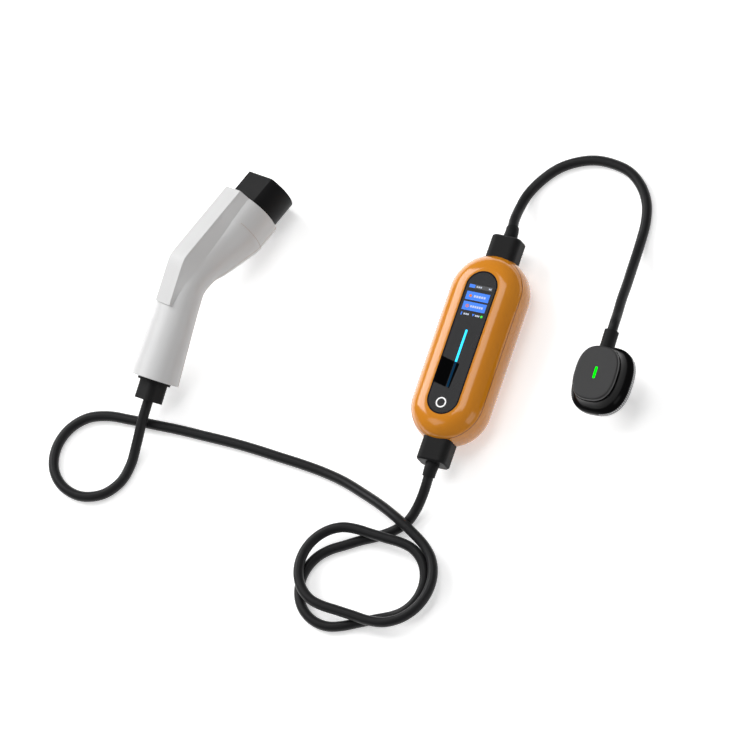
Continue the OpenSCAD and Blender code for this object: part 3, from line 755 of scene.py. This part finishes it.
@dataclass(frozen=True)
class RoundEnd:
    """A round end of the coil, in the coil's own frame; the cable goes round it anticlockwise."""

    x: float
    y: float
    radius: float

    def leave(self, other: "RoundEnd") -> float:
        """Gives the angle where a straight run leaves this end, at which it also meets the other one.

        Args:
            other: The end that the run goes to.

        Returns:
            The angle in degrees.
        """
        across, along = other.x - self.x, other.y - self.y
        lean = math.acos((self.radius - other.radius) / math.hypot(across, along))
        return math.degrees(math.atan2(along, across) - lean)

    def arc(self, start: float, end: float, low: float, high: float) -> list[Vector]:
        """Gives points round the end, with an even climb.

        Args:
            start: The angle where the arc starts, in degrees.
            end: The angle where it ends.
            low: Its height at the start.
            high: Its height at the end.

        Returns:
            The arc's points.
        """
        span = (end - start) % 360
        steps = round(span / ARC_STEP)
        spots = []
        for i in range(steps + 1):
            g = math.radians(start + span * i / steps)
            z = low + (high - low) * i / steps
            spots.append(Vector((self.x + self.radius * math.cos(g), self.y + self.radius * math.sin(g), z)))
        return spots


@dataclass
class Cables:
    """The mains lead and the charging cable, on the routes of the part's source."""

    diameter: float = 11.0
    floor_z: float = 5.5
    upper_z: float = 16.8
    gland_end: float = 129.0
    gland_z: float = 26.5
    straight: float = 8.0
    coil_place: tuple[float, float] = (-40.0, -262.0)
    coil_turn: float = 9.0
    coil_radius: float = 45.0
    coil_half: float = 28.5
    coil_shift: float = 9.0
    coil_entry: tuple[tuple[float, float], ...] = ((-14.0, 53.0), (-32.0, 46.5))
    coil_start: float = 112.5
    coil_stop: float = 45.0
    coil_rise: float = 0.4
    inner_less: float = 5.0
    outer_more: float = 6.0
    handle_end: float = 115.0
    inner_end: float = 8.0
    plug_exit: float = 50.8
    plug_cable_z: float = 20.0

    def mains_lead(self) -> Cable:
        """Gives the lead from the upper gland to the plug.

        Returns:
            The lead.
        """
        z = self.floor_z
        plug = PlugPose().matrix()
        points = [
            (0, self.gland_end, self.gland_z), (0, self.gland_end + self.straight, self.gland_z),
            (-4, 151, 22), (-7, 168, 13.5), (-6, 187, 7.5), (3, 206, z), (17, 222, z), (34, 232.6, z),
            (55, 239.2, z), (77, 239.2, z), (98, 234, z), (116, 221, z), (128, 204, z), (134, 184, z),
            (136.5, 164, 7), (139.5, 145, 12), (143.5, 125, 19.5), (148.5, 105, 29), (153, 86, 38.5),
            (158, 67, 47),
            plug @ Vector((0, self.plug_exit + self.straight, self.plug_cable_z)),
            plug @ Vector((0, self.plug_exit, self.plug_cable_z)),
        ]
        return Cable("mains_cable", smooth_route(points), self.diameter, "plug", "loose", ("mains_lead",))

    def coil(self) -> list[Vector]:
        """Gives the two turns of the coil, the second one over the first, from the box's side on.

        Returns:
            The turns' points in the shared frame.
        """
        low, high = self.floor_z, self.upper_z
        west_low = RoundEnd(-self.coil_half, -self.coil_shift, self.coil_radius)
        west_high = RoundEnd(-self.coil_half, self.coil_shift, self.coil_radius)
        inner = RoundEnd(self.coil_half, 0, self.coil_radius - self.inner_less)
        outer = RoundEnd(self.coil_half, 0, self.coil_radius + self.outer_more)
        arcs = [
            west_low.arc(self.coil_start, west_low.leave(inner), low, low),
            inner.arc(west_low.leave(inner), inner.leave(west_high), low, high),
            west_high.arc(inner.leave(west_high), west_high.leave(outer), high, high),
            outer.arc(west_high.leave(outer), self.coil_stop, high, high + self.coil_rise),
        ]
        spots = [Vector((x, y - self.coil_shift, low)) for x, y in self.coil_entry]
        spots += arcs[0]
        for arc in arcs[1:]:
            spots += [spots[-1].lerp(arc[0], 1 / 3), spots[-1].lerp(arc[0], 2 / 3), *arc]
        turn = Matrix.Rotation(math.radians(self.coil_turn), 4, "Z")
        placed = Matrix.Translation((*self.coil_place, 0)) @ turn
        return [placed @ spot for spot in spots]

    def charging_cable(self) -> Cable:
        """Gives the cable from the lower gland through the coil and the loop into the connector.

        Returns:
            The cable, with its last stretch inside the handle.
        """
        z = self.floor_z
        tail = [
            (0, -self.gland_end, self.gland_z), (0, -self.gland_end - self.straight, self.gland_z),
            (-1, -150, 22.8), (-4, -163, 16.5), (-9, -177, 10), (-16, -191, 6.2), (-28, -203, z),
            (-44, -213, z),
        ]
        run = [
            (-3, -203, 18.5), (-24, -192, 18.5), (-48, -181, 15.5), (-74, -171, 11), (-100, -162, 7.5),
            (-126, -156, 5.8), (-154, -152, z), (-184, -149, z), (-214, -146, z), (-244, -144, z),
            (-274, -143, z), (-304, -142, z), (-334, -142, z), (-362, -142, z), (-388, -143, z),
            (-410, -150, z), (-426, -166, z), (-432.8, -188, z), (-428, -211, z), (-412, -228, z),
            (-388, -235, z), (-364, -228, z), (-349, -211, z), (-344, -190, 6), (-343, -168, 11),
            (-342, -146, 18.2),
        ]
        end, inside = self.handle_end, self.inner_end
        axis = [Connector().on_handle(t) for t in (end + self.straight, end, (end + inside) / 2, inside)]
        grip = [ConnectorPose().matrix() @ Vector((x, 0, height)) for x, height in axis]
        route = smooth_route([*tail, *self.coil(), *run, *grip])
        nodes = ("charging_cable_run", "charging_cable_coil", "charging_cable_tail")
        return Cable("charging_cable", route, self.diameter, "connector", "coiled", nodes)


@dataclass
class ControlBox:
    """The orange box: finishes of its solids, its joint line and the frame around its panel."""

    width: float = 87.0
    length: float = 214.0
    depth: float = 53.0
    seam_z: float = 39.0
    edge_r: float = 25.0
    panel_w: float = 36.0
    panel_l: float = 163.0
    joint_r: float = 0.28
    frame_w: float = 1.5
    frame_over: float = 0.6
    print_rise: float = 0.06
    print_depth: float = 0.2

    def stadium(self, width: float, length: float, steps: int = 48) -> Outline:
        """Gives an outline with round ends along Y.

        Args:
            width: Its width.
            length: Its length.
            steps: Points on each round end.

        Returns:
            The outline's points, anticlockwise.
        """
        reach = (length - width) / 2
        points = []
        for side, start in ((1, 0.0), (-1, 180.0)):
            for i in range(steps + 1):
                g = math.radians(start + 180 * i / steps)
                points.append((width / 2 * math.cos(g), side * reach + width / 2 * math.sin(g)))
        return points

    def joint_line(self, shop: Workshop) -> None:
        """Lays the thin shadow line where the half shells meet.

        Args:
            shop: The workshop that holds the materials.
        """
        over = self.seam_z - (self.depth - self.edge_r)
        inset = self.edge_r - math.sqrt(self.edge_r ** 2 - over ** 2)
        outline = self.stadium(self.width - 2 * inset, self.length - 2 * inset)
        route = [Vector((x, y, self.seam_z)) for x, y in outline]
        mesh = tube_mesh(route, self.joint_r, closed=True)
        shop.place("shell_joint_line", mesh, JOINT_ABS, Slot.ORANGE)

    def panel_frame(self, shop: Workshop) -> None:
        """Prints the dark edge around the display panel.

        Args:
            shop: The workshop that holds the materials.
        """
        rings = []
        low, top = self.depth - self.print_depth, self.depth + self.print_rise
        for inset, z in ((0.0, low), (0.0, top), (self.frame_w, top), (self.frame_w, low)):
            grow = self.frame_over - 2 * inset
            rings.append([(x, y, z) for x, y in self.stadium(self.panel_w + grow, self.panel_l + grow)])
        shop.place("panel_frame", loft_mesh(rings, closed=True), FRAME_PC, Slot.PANEL)

    def build(self, shop: Workshop) -> None:
        """Dresses the box and adds its lines.

        Args:
            shop: The workshop that holds the materials.
        """
        shop.dress(ORANGE_ABS, "front_shell", "rear_shell")
        shop.dress(PANEL_PC, "display_panel", "display_module")
        shop.dress(BAR_CYAN, "light_bar")
        shop.dress(STEEL, "shell_screws", "board_screws")
        shop.dress(BOARD, "main_board")
        shop.dress(COMPONENT, "power_relays", "power_supply", "leakage_sensor", "terminal_blocks")
        shop.dress(COMPONENT, "touch_sensor")
        shop.dress(GLAND_RUBBER, "upper_gland", "lower_gland", "shell_seal")
        shop.dress(NYLON, "gland_nuts")
        self.joint_line(shop)
        self.panel_frame(shop)


@dataclass(frozen=True)
class PrintedMark:
    """One printed piece of the panel: its finish, its layer, its plates and its rings."""

    name: str
    finish: Finish
    layer: int
    plates: Sequence[Outline] = ()
    bands: Sequence[tuple[Outline, Outline]] = ()


@dataclass
class DisplayFace:
    """What the panel shows: plain picture elements, a touch ring, and a black field that is a painted dark
    reflection.
    """

    panel_z: float = ControlBox.depth
    print_depth: float = 0.1
    print_rise: float = 0.1
    layer_step: float = 0.06
    dash_share: float = 0.72
    left: float = -13.9
    right: float = 13.2
    status_left: float = -13.6
    status_y: float = 63.0
    first_button_y: float = 52.3
    second_button_y: float = 40.8
    foot_y: float = 31.6
    mark_x: float = -8.6
    touch_place: tuple[float, float] = (-1.0, -68.8)
    touch_inner: float = 4.4
    touch_outer: float = 5.9

    # The painted dark reflection on the window, in two parts, beside the light bar that runs through it
    REFLECTION_PARTS = (
        [(-17.9, -18.2), (-17.6, -47.9), (-2.0, -51.2), (-1.6, -22.1)],
        [(1.3, -22.8), (1.3, -51.9), (2.4, -52.2), (4.9, -23.6)],
    )
    # The small pointer in the display's foot row
    POINTER = [(0.0, 33.0), (1.5, 30.2), (3.0, 33.0)]

    @staticmethod
    def bar(x0: float, y0: float, x1: float, y1: float) -> Outline:
        """Gives a rectangle's outline from its low and high corners."""
        return [(x0, y0), (x1, y0), (x1, y1), (x0, y1)]

    @staticmethod
    def disc(x: float, y: float, radius: float, steps: int = 24) -> Outline:
        """Gives a round outline from its centre and radius."""
        turns = [2 * math.pi * i / steps for i in range(steps)]
        return [(x + radius * math.cos(g), y + radius * math.sin(g)) for g in turns]

    def band(
        self, x: float, y: float, inner: float, outer: float, steps: int = 48
    ) -> tuple[Outline, Outline]:
        """Gives a plain ring's outer and inner outline from its centre and radii."""
        return self.disc(x, y, outer, steps), self.disc(x, y, inner, steps)

    def dashes(self, x0: float, x1: float, y: float, height: float, count: int) -> list[Outline]:
        """Gives a row of plain dashes.

        Args:
            x0: Where the row starts.
            x1: Where it ends.
            y: Its middle height on the panel.
            height: Height of a dash.
            count: How many dashes it has.

        Returns:
            The dashes' outlines.
        """
        pitch = (x1 - x0) / count
        width = self.dash_share * pitch
        starts = [x0 + i * pitch for i in range(count)]
        return [self.bar(x, y - height / 2, x + width, y + height / 2) for x in starts]

    def marks(self) -> list[PrintedMark]:
        """Lays out the picture elements and the touch ring.

        Returns:
            The printed pieces, in the order that they are placed.
        """
        buttons = [
            self.bar(self.left, 47.7, self.right, 57.0),
            self.bar(self.left, 36.0, self.right, 45.6),
            self.bar(self.status_left, 61.2, -6.8, 64.9),
            self.bar(-12.8, 29.8, -11.6, 33.4),
            self.POINTER,
        ]
        dashes = [
            *self.dashes(-4.6, 9.8, self.first_button_y, 2.3, 5),
            *self.dashes(-5.0, 10.4, self.second_button_y, 2.3, 6),
            *self.dashes(-5.2, 1.6, self.status_y, 1.7, 3),
            *self.dashes(9.4, 12.8, self.status_y, 1.7, 2),
            *self.dashes(-9.6, -3.0, self.foot_y, 1.8, 3),
            *self.dashes(4.0, 9.4, self.foot_y, 1.8, 3),
        ]
        status_field = self.bar(self.status_left, 60.9, self.right, 65.2)
        dot = self.disc(self.mark_x, self.first_button_y, 1.5)
        ring = self.band(self.mark_x, self.second_button_y, 0.9, 1.8)
        ready = self.disc(11.4, self.foot_y, 1.4)
        touch = self.band(*self.touch_place, self.touch_inner, self.touch_outer)
        return [
            PrintedMark("display_status_field", LCD_GREY, 0, [status_field]),
            PrintedMark("display_buttons", LCD_BLUE, 1, buttons),
            PrintedMark("display_dashes", LCD_WHITE, 2, dashes),
            PrintedMark("display_marks", LCD_ORANGE, 2, [dot], [ring]),
            PrintedMark("display_ready_mark", LCD_GREEN, 1, [ready]),
            PrintedMark("touch_mark", TOUCH_WHITE, 1, bands=[touch]),
        ]

    def build(self, shop: Workshop) -> None:
        """Prints all elements as thin plates on the panel, and lays the painted dark reflection as one more
        plate.

        Args:
            shop: The workshop that holds the materials.
        """
        low, high = self.panel_z - self.print_depth, self.panel_z + self.print_rise
        for mark in self.marks():
            mesh = plate_mesh(mark.plates, low, high + mark.layer * self.layer_step, mark.bands)
            shop.place(mark.name, mesh, mark.finish, Slot.DISPLAY)
        # The black field is a painted dark reflection, laid as a plate on the window
        mesh = plate_mesh(self.REFLECTION_PARTS, low, high)
        shop.place("dark_reflection_field", mesh, DARK_REFLECTION_PC, Slot.PANEL)


@dataclass
class Section:
    """One cross-section of the connector's shell: its centre in the middle plane, turn, size and spine.

    The foot is the angle, from the top, where the spine's flank meets the round part.
    """

    x: float
    z: float
    turn: float
    half_width: float
    half_height: float
    foot: float
    spine: bool = True

    def place(self, across: float, up: float) -> Vector:
        """Puts a point across and above the section's centre into the connector's frame."""
        g = math.radians(self.turn)
        return Vector((self.x - math.sin(g) * up, across, self.z + math.cos(g) * up))


@dataclass
class Connector:
    """The white pistol-grip connector: a smooth shell over the half shells, with its mould lines.

    Two sections stand the section gap apart where the form breaks at an edge.
    """

    bend: float = 28.4
    neck_bend_share: float = 0.78
    nose_axis: float = 121.0
    handle: float = 92.0
    collar_r: float = 32.8
    collar_l: float = 30.0
    wall: float = 3.0
    spine_w: float = 12.5
    spine_nose_h: float = 37.5
    spine_handle_h: float = 21.5
    spine_end: float = 12.0
    spine_soft: float = 0.8
    spine_edge: float = 0.9
    edge_middle: float = 0.27
    spine_shoulder: float = 0.45
    flank_shares: tuple[float, ...] = (0.3, 0.6, 0.85)
    top_shares: tuple[float, ...] = (0, 0.12, 0.25, 0.37, 0.5, 0.62, 0.75, 0.87)
    belly_steps: int = 36
    section_gap: float = 0.3
    shell_crease_deg: float = 13.0
    rim_edge: float = 0.7
    rim_middle: float = 0.3
    front_lip: float = 0.4
    back_lip: float = 0.2
    back_depth: float = 5.0
    belly_line: float = 124.0
    collar_line_back: float = 27.0
    collar_line_start: float = 52.0
    collar_line_span: float = 98.0
    collar_line_steps: int = 30
    joint_r: float = 0.2
    collar_joint_r: float = 0.16

    def on_handle(self, t: float) -> tuple[float, float]:
        """Gives the x and z of a place on the handle's axis, from its distance to the bend."""
        g = math.radians(self.bend)
        return (-math.cos(g) * t, -math.sin(g) * t)

    def collar_sections(self) -> list[Section]:
        """Gives the sections of the straight collar.

        Returns:
            The sections, from the front.
        """
        r = self.collar_r
        return [
            Section(self.nose_axis, 0, 0, r, r, 34),
            Section(self.nose_axis - 15, 0, 0, r, r, 35.5),
            Section(self.nose_axis - self.collar_l, 0, 0, r, r, 37),
        ]

    def neck_sections(self) -> list[Section]:
        """Gives the sections of the cone behind the collar and of the bend.

        Returns:
            The sections, from the collar to the spine's end.
        """
        r = self.collar_r
        return [
            Section(self.nose_axis - self.collar_l - self.section_gap, 0, 0, r, r, 37),
            Section(self.nose_axis - 45, 1.2, 0, 30.4, 30, 40),
            Section(self.nose_axis - 60, 3, 0, 28.1, 27.8, 44),
            Section(self.nose_axis - 76, 5, 4, 26, 25.5, 49),
            Section(30.9, 7, self.bend / 2, 25, 23, 55),
            Section(18, 6.2, self.bend * self.neck_bend_share, 25, 21.5, 50),
            Section(*self.on_handle(-8), self.bend, 25.5, 20.3, 42),
            Section(*self.on_handle(self.spine_end), self.bend, 26, 20, 29),
        ]

    def grip_sections(self) -> list[Section]:
        """Gives the sections of the handle behind the spine.

        Returns:
            The sections, from the spine's end to the handle's end.
        """
        return [
            Section(*self.on_handle(self.spine_end + self.section_gap), self.bend, 26, 20, 29, False),
            Section(*self.on_handle(self.handle / 2), self.bend, 27.2, 21.6, 29, False),
            Section(*self.on_handle(self.handle), self.bend, 29, 24, 29, False),
        ]

    def spine_height(self, s: Section) -> float:
        """Gives the spine's height above a section's centre, with a short round at its bend.

        Args:
            s: The section.

        Returns:
            The height, in millimetres.
        """
        g, b = math.radians(s.turn), math.radians(self.bend)
        over_nose = (self.spine_nose_h - s.z) / math.cos(g)
        lift = -s.x * math.sin(b) + s.z * math.cos(b)
        over_handle = (self.spine_handle_h - lift) / (math.sin(g) * math.sin(b) + math.cos(g) * math.cos(b))
        mean, half = (over_nose + over_handle) / 2, (over_nose - over_handle) / 2
        return mean - math.hypot(half, self.spine_soft)

    def finer(self, rows: list[Section], steps: int = 6) -> list[Section]:
        """Puts smooth sections between those of a table.

        Args:
            rows: The table.
            steps: Parts that each gap is divided into.

        Returns:
            The longer table.
        """
        fields = [(s.x, s.z, s.turn, s.half_width, s.half_height, s.foot) for s in rows]
        out = []
        for i in range(len(rows) - 1):
            a, b = fields[max(i - 1, 0)], fields[i]
            c, d = fields[i + 1], fields[min(i + 2, len(rows) - 1)]
            for k in range(steps):
                t = k / steps
                values = [
                    q + 0.5 * t * (r - p + t * (2 * p - 5 * q + 4 * r - e + t * (3 * (q - r) + e - p)))
                    for p, q, r, e in zip(a, b, c, d)
                ]
                out.append(Section(*values, rows[i].spine))
        out.append(rows[-1])
        return out

    def half_outline(self, s: Section, inset: float = 0.0) -> Outline:
        """Gives half a section's outline from spine to belly.

        Args:
            s: The section.
            inset: How far the outline is drawn in.

        Returns:
            Points across and up, in millimetres.
        """
        a, b = s.half_width - inset, s.half_height - inset
        foot = math.radians(s.foot)
        foot_spot = (a * math.sin(foot), b * math.cos(foot))
        top = []
        if s.spine:
            h, w = self.spine_height(s) - inset, self.spine_w - inset
            edge = self.spine_edge
            cut = self.edge_middle * edge
            top = [(0, h), (w * self.spine_shoulder, h), (w - edge, h), (w - cut, h - cut), (w, h - edge)]
            for k in self.flank_shares:
                top.append((w + (foot_spot[0] - w) * k, h - edge + (foot_spot[1] - h + edge) * k))
        else:
            for k in self.top_shares:
                top.append((a * math.sin(foot * k), b * math.cos(foot * k)))
        for i in range(self.belly_steps + 1):
            g = foot + (math.pi - foot) * i / self.belly_steps
            top.append((a * math.sin(g), b * math.cos(g)))
        return top

    def ring(self, s: Section, inset: float = 0.0, plain: bool = False) -> list[Vector]:
        """Gives a section's whole ring, drawn in by the inset, and without its spine where plain."""
        half = self.half_outline(replace(s, spine=s.spine and not plain), inset)
        return [s.place(-x, y) for x, y in half] + [s.place(x, y) for x, y in reversed(half[1:-1])]

    def shifted(self, s: Section, along: float) -> Section:
        """Gives a section moved along its own axis, towards the front."""
        g = math.radians(s.turn)
        return replace(s, x=s.x + math.cos(g) * along, z=s.z + math.sin(g) * along)

    def shell(self, shop: Workshop) -> bpy.types.Object:
        """Builds the smooth white shell as one closed form: its outside, both rims and its inner wall.

        Args:
            shop: The workshop that holds the materials.

        Returns:
            The shell's object.
        """
        nose = self.finer(self.collar_sections()) + self.finer(self.neck_sections())
        grip = self.finer(self.grip_sections())
        front, back = nose[0], grip[-1]
        edge = self.rim_edge
        cut = self.rim_middle * edge
        rings = [
            self.ring(self.shifted(front, -self.front_lip), self.wall, True),
            self.ring(front, self.wall - self.front_lip, True),
            self.ring(front, edge),
            self.ring(self.shifted(front, -cut), cut),
            self.ring(self.shifted(front, -edge)),
        ]
        rings += [self.ring(s) for s in nose[1:]] + [self.ring(s) for s in grip[:-1]]
        rings += [
            self.ring(self.shifted(back, edge)),
            self.ring(self.shifted(back, cut), cut),
            self.ring(back, edge),
            self.ring(back, self.wall - self.back_lip, True),
            self.ring(self.shifted(back, self.back_depth), self.wall, True),
        ]
        rings += [self.ring(s, self.wall, True) for s in reversed([*nose[1:], *grip[:-1]])]
        placed = ConnectorPose().matrix()
        mesh = loft_mesh([[placed @ p for p in ring] for ring in rings], closed=True)
        nodes = ("connector_shell_left", "connector_shell_right")
        crease = self.shell_crease_deg
        return shop.place("connector_shell", mesh, WHITE_PC, Slot.WHITE, nodes, sharp_deg=crease)

    def joint_lines(self, shop: Workshop) -> list[bpy.types.Object]:
        """Lays the thin mould lines along the belly and round the collar.

        Args:
            shop: The workshop that holds the materials.

        Returns:
            The lines' objects.
        """
        tables = (self.collar_sections(), self.neck_sections(), self.grip_sections())
        rows = [s for table in tables for s in self.finer(table)]
        belly = math.radians(self.belly_line)
        r, steps = self.collar_r, self.collar_line_steps
        collar = Section(self.nose_axis - self.collar_line_back, 0, 0, r, r, 0)
        turns = [
            math.radians(self.collar_line_start + self.collar_line_span * i / steps) for i in range(steps + 1)
        ]
        placed = ConnectorPose().matrix()
        sides = ((-1, "right"), (1, "left"))
        lines = []
        for side, word in sides:
            across, up = side * math.sin(belly), math.cos(belly)
            route = [placed @ s.place(across * s.half_width, up * s.half_height) for s in rows]
            mesh = tube_mesh(route, self.joint_r)
            lines.append(shop.place(f"connector_belly_line_{word}", mesh, WHITE_JOINT, Slot.WHITE))
        for side, word in sides:
            route = [placed @ collar.place(side * r * math.sin(t), r * math.cos(t)) for t in turns]
            mesh = tube_mesh(route, self.collar_joint_r)
            lines.append(shop.place(f"connector_collar_line_{word}", mesh, WHITE_JOINT, Slot.WHITE))
        return lines

    def build(self, shop: Workshop) -> list[bpy.types.Object]:
        """Builds the connector's own pieces and dresses its solids.

        Args:
            shop: The workshop that holds the materials.

        Returns:
            All pieces on the cable's end, with the CAD nodes among them.
        """
        nodes = [
            *shop.dress(NYLON, "connector_nose", "contact_carrier"),
            *shop.dress(GLAND_RUBBER, "connector_gland", "nose_seal"),
            *shop.dress(BRASS, "power_sleeves", "signal_sleeves"),
            *shop.dress(WHITE_PC, "handle_end_cap"),
            *shop.dress(STEEL, "cable_clamp", "connector_screws"),
        ]
        return [self.shell(shop), *self.joint_lines(shop), *nodes]


class RibRow:
    """Geometry Nodes that set equal ribs along a path of edges."""

    SIZES = ("Width", "Depth", "Height")

    def __init__(self) -> None:
        """Builds the node tree, once for all rows."""
        self.tree = self.build_tree()

    def build_tree(self) -> bpy.types.NodeTree:
        """Builds the node tree, with its sizes as named inputs.

        Returns:
            The tree.
        """
        tree = bpy.data.node_groups.new("rib_row", "GeometryNodeTree")
        face = tree.interface
        face.new_socket("Geometry", in_out="INPUT", socket_type="NodeSocketGeometry")
        face.new_socket("Count", in_out="INPUT", socket_type="NodeSocketInt")
        for name in self.SIZES:
            face.new_socket(name, in_out="INPUT", socket_type="NodeSocketFloat")
        face.new_socket("Material", in_out="INPUT", socket_type="NodeSocketMaterial")
        face.new_socket("Geometry", in_out="OUTPUT", socket_type="NodeSocketGeometry")
        start = add_node(tree, "NodeGroupInput").outputs
        path = add_node(tree, "GeometryNodeMeshToCurve", {}, {"Mesh": start["Geometry"]})
        spots = add_node(tree, "GeometryNodeResampleCurve", {}, {
            "Curve": path.outputs["Curve"], "Count": start["Count"]
        })
        size = add_node(tree, "ShaderNodeCombineXYZ", {}, dict(zip("XYZ", (start[n] for n in self.SIZES))))
        rib = add_node(tree, "GeometryNodeMeshCube", {}, {"Size": size.outputs["Vector"]})
        along = add_node(tree, "GeometryNodeInputTangent")
        turn = add_node(tree, "FunctionNodeAlignRotationToVector", {"axis": "X", "pivot_axis": "Z"}, {
            "Vector": along.outputs["Tangent"]
        })
        row = add_node(tree, "GeometryNodeInstanceOnPoints", {}, {
            "Points": spots.outputs["Curve"],
            "Instance": rib.outputs["Mesh"],
            "Rotation": turn.outputs["Rotation"],
        })
        real = add_node(tree, "GeometryNodeRealizeInstances", {}, {"Geometry": row.outputs["Instances"]})
        painted = add_node(tree, "GeometryNodeSetMaterial", {}, {
            "Geometry": real.outputs["Geometry"], "Material": start["Material"]
        })
        add_node(tree, "NodeGroupOutput", {}, {"Geometry": painted.outputs["Geometry"]})
        return tree

    def mesh(
        self, path: Sequence[Vector], count: int, size: Sequence[float], material: bpy.types.Material
    ) -> bpy.types.Mesh:
        """Makes the row of ribs as one plain mesh.

        Args:
            path: The path's points, in millimetres.
            count: How many ribs stand on it.
            size: A rib's width along the path, depth across it and height, in millimetres.
            material: The ribs' material.

        Returns:
            The ribs' mesh, in metres.
        """
        edges = [(i, i + 1) for i in range(len(path) - 1)]
        line = bpy.data.meshes.new("rib_path")
        line.from_pydata([metres(p) for p in path], edges, [])
        holder = bpy.data.objects.new("rib_path", line)
        bpy.context.scene.collection.objects.link(holder)
        modifier = holder.modifiers.new("ribs", "NODES")
        modifier.node_group = self.tree
        values = {"Count": count, "Material": material, **dict(zip(self.SIZES, (s * MM for s in size)))}
        for item in self.tree.interface.items_tree:
            if item.in_out == "INPUT" and item.name in values:
                modifier[item.identifier] = values[item.name]
        view = bpy.context.evaluated_depsgraph_get()
        made = bpy.data.meshes.new_from_object(holder.evaluated_get(view))
        bpy.data.objects.remove(holder)
        return made


@dataclass
class Plug:
    """The mains plug: a smooth cap on a bell that flares to a ribbed flange."""

    cap_w: float = 48.0
    cap_l: float = 61.0
    height: float = 30.0
    cap_seat: float = 25.0
    flange_w: float = 66.0
    flange_l: float = 76.0
    flange_t: float = 8.0
    power: float = 2.6
    steps: int = 128
    rib_count: int = 34
    rib_size: tuple[float, float, float] = (1.45, 0.7, 5.6)
    rib_sink: float = 0.2
    rib_from: float = 0.85
    rib_to: float = 0.45
    neck: tuple[float, float] = (45.0, 58.0)
    neck_z: float = 22.8

    # How far the cap's rings are drawn in, and their heights: over its seat, then under its top
    CAP_FOOT = ((1.6, 0.0), (0.5, 0.4), (0.0, 1.2))
    CAP_EDGE = ((0.0, 1.6), (0.25, 0.8), (0.8, 0.25), (1.7, 0.02), (2.6, 0.02))
    # How far the flange's rings are drawn in, and their heights
    FLANGE = ((1.6, 0.0), (0.5, 0.4), (0.0, 1.4), (0.0, 6.6), (0.4, 7.5), (1.5, 8.0))
    # Width, length and height of the bell's rings, from the flange up to the lip under the cap
    WAIST = (
        (60.5, 71.0, 8.4), (57.0, 68.2, 9.6), (54.0, 66.0, 11.4), (51.4, 63.6, 13.6), (49.3, 61.6, 16.5),
        (47.6, 60.2, 19.2), (47.0, 59.8, 20.8), (48.2, 61.0, 21.0), (48.2, 61.0, 22.4), (47.4, 60.2, 22.7),
    )

    def ring(self, width: float, length: float, z: float) -> list[Vector]:
        """Gives a rounded outline at a height of the plug.

        Args:
            width: Its width.
            length: Its length.
            z: Its height above the flange's underside.

        Returns:
            The outline's points in the shared frame, in millimetres.
        """
        placed = PlugPose().matrix()
        points = []
        for i in range(self.steps):
            g = 2 * math.pi * i / self.steps
            c, s = math.cos(g), math.sin(g)
            k = (abs(c) ** self.power + abs(s) ** self.power) ** (-1 / self.power)
            points.append(placed @ Vector((width / 2 * k * c, length / 2 * k * s, z)))
        return points

    def profile(self, rows: Sequence[tuple[float, float]], width: float, length: float) -> list[list[Vector]]:
        """Gives rings from one outline; a row says how far a ring is drawn in, and its height."""
        return [self.ring(width - 2 * inset, length - 2 * inset, z) for inset, z in rows]

    def cap(self, shop: Workshop) -> bpy.types.Object:
        """Builds the grey cap with its rounded edge.

        Args:
            shop: The workshop that holds the materials.

        Returns:
            The cap's object.
        """
        rows = [(inset, self.cap_seat + rise) for inset, rise in self.CAP_FOOT]
        rows += [(inset, self.height - drop) for inset, drop in self.CAP_EDGE]
        mesh = loft_mesh(self.profile(rows, self.cap_w, self.cap_l))
        return shop.place("plug_cap_form", mesh, CAP_ABS, Slot.CAP, ("plug_cap",))

    def bell(self, shop: Workshop) -> bpy.types.Object:
        """Builds the glossy bell: its flange, its waist and the thin lip under the cap.

        Args:
            shop: The workshop that holds the materials.

        Returns:
            The bell's object.
        """
        rings = self.profile(self.FLANGE, self.flange_w, self.flange_l)
        rings += [self.ring(*row) for row in self.WAIST]
        rings += [self.ring(*self.neck, z) for z in (self.neck_z, self.cap_seat)]
        return shop.place("plug_bell", loft_mesh(rings), PLUG_ABS, Slot.PLUG, ("plug_body",))

    def ribs(self, shop: Workshop) -> bpy.types.Object:
        """Sets the grip ribs on both long sides of the flange.

        Args:
            shop: The workshop that holds the materials.

        Returns:
            The ribs' object.
        """
        outline = self.ring(self.flange_w - self.rib_sink, self.flange_l - self.rib_sink, self.flange_t / 2)
        quarter = self.steps // 4
        reach = range(-int(self.rib_from * quarter), int(self.rib_to * quarter) + 1)
        # The ribs' pale grey is a painted highlight along the flange's side wall
        material = shop.material(RIB_HIGHLIGHT)
        row = RibRow()
        joined = bmesh.new()
        for offset in (0, 2 * quarter):
            path = [outline[(i + offset) % self.steps] for i in reach]
            joined.from_mesh(row.mesh(path, self.rib_count, self.rib_size, material))
        mesh = bpy.data.meshes.new("ribs")
        joined.to_mesh(mesh)
        joined.free()
        return shop.place("plug_grip_ribs", mesh, RIB_HIGHLIGHT, Slot.PLUG)

    def build(self, shop: Workshop) -> list[bpy.types.Object]:
        """Builds the plug's own pieces and dresses its solids.

        Args:
            shop: The workshop that holds the materials.

        Returns:
            All pieces on the lead's end, with the CAD nodes among them.
        """
        nodes = [
            *shop.dress(PLUG_GREEN, "plug_light"),
            *shop.dress(BOARD, "plug_light_board"),
            *shop.dress(NYLON, "plug_base"),
            *shop.dress(STEEL, "plug_pins"),
            *shop.dress(BRASS, "earth_clips"),
            *shop.dress(GLAND_RUBBER, "plug_relief"),
        ]
        return [self.cap(shop), self.bell(shop), self.ribs(shop), *nodes]


def main() -> None:
    """Builds the picture: camera and cables first, then the dressed pieces."""
    logging.basicConfig(level=logging.INFO, format="%(name)s %(message)s")
    shop = Workshop()
    Studio().build()
    routes = Cables()
    lead, charging = routes.mains_lead(), routes.charging_cable()
    lead_object, charging_object = lead.build(shop), charging.build(shop)
    lead.sleeve(shop)
    charging.sleeve(shop)
    ControlBox().build(shop)
    DisplayFace().build(shop)
    charging.declare(charging_object, Connector().build(shop))
    lead.declare(lead_object, Plug().build(shop))


if __name__ == "__main__":
    main()
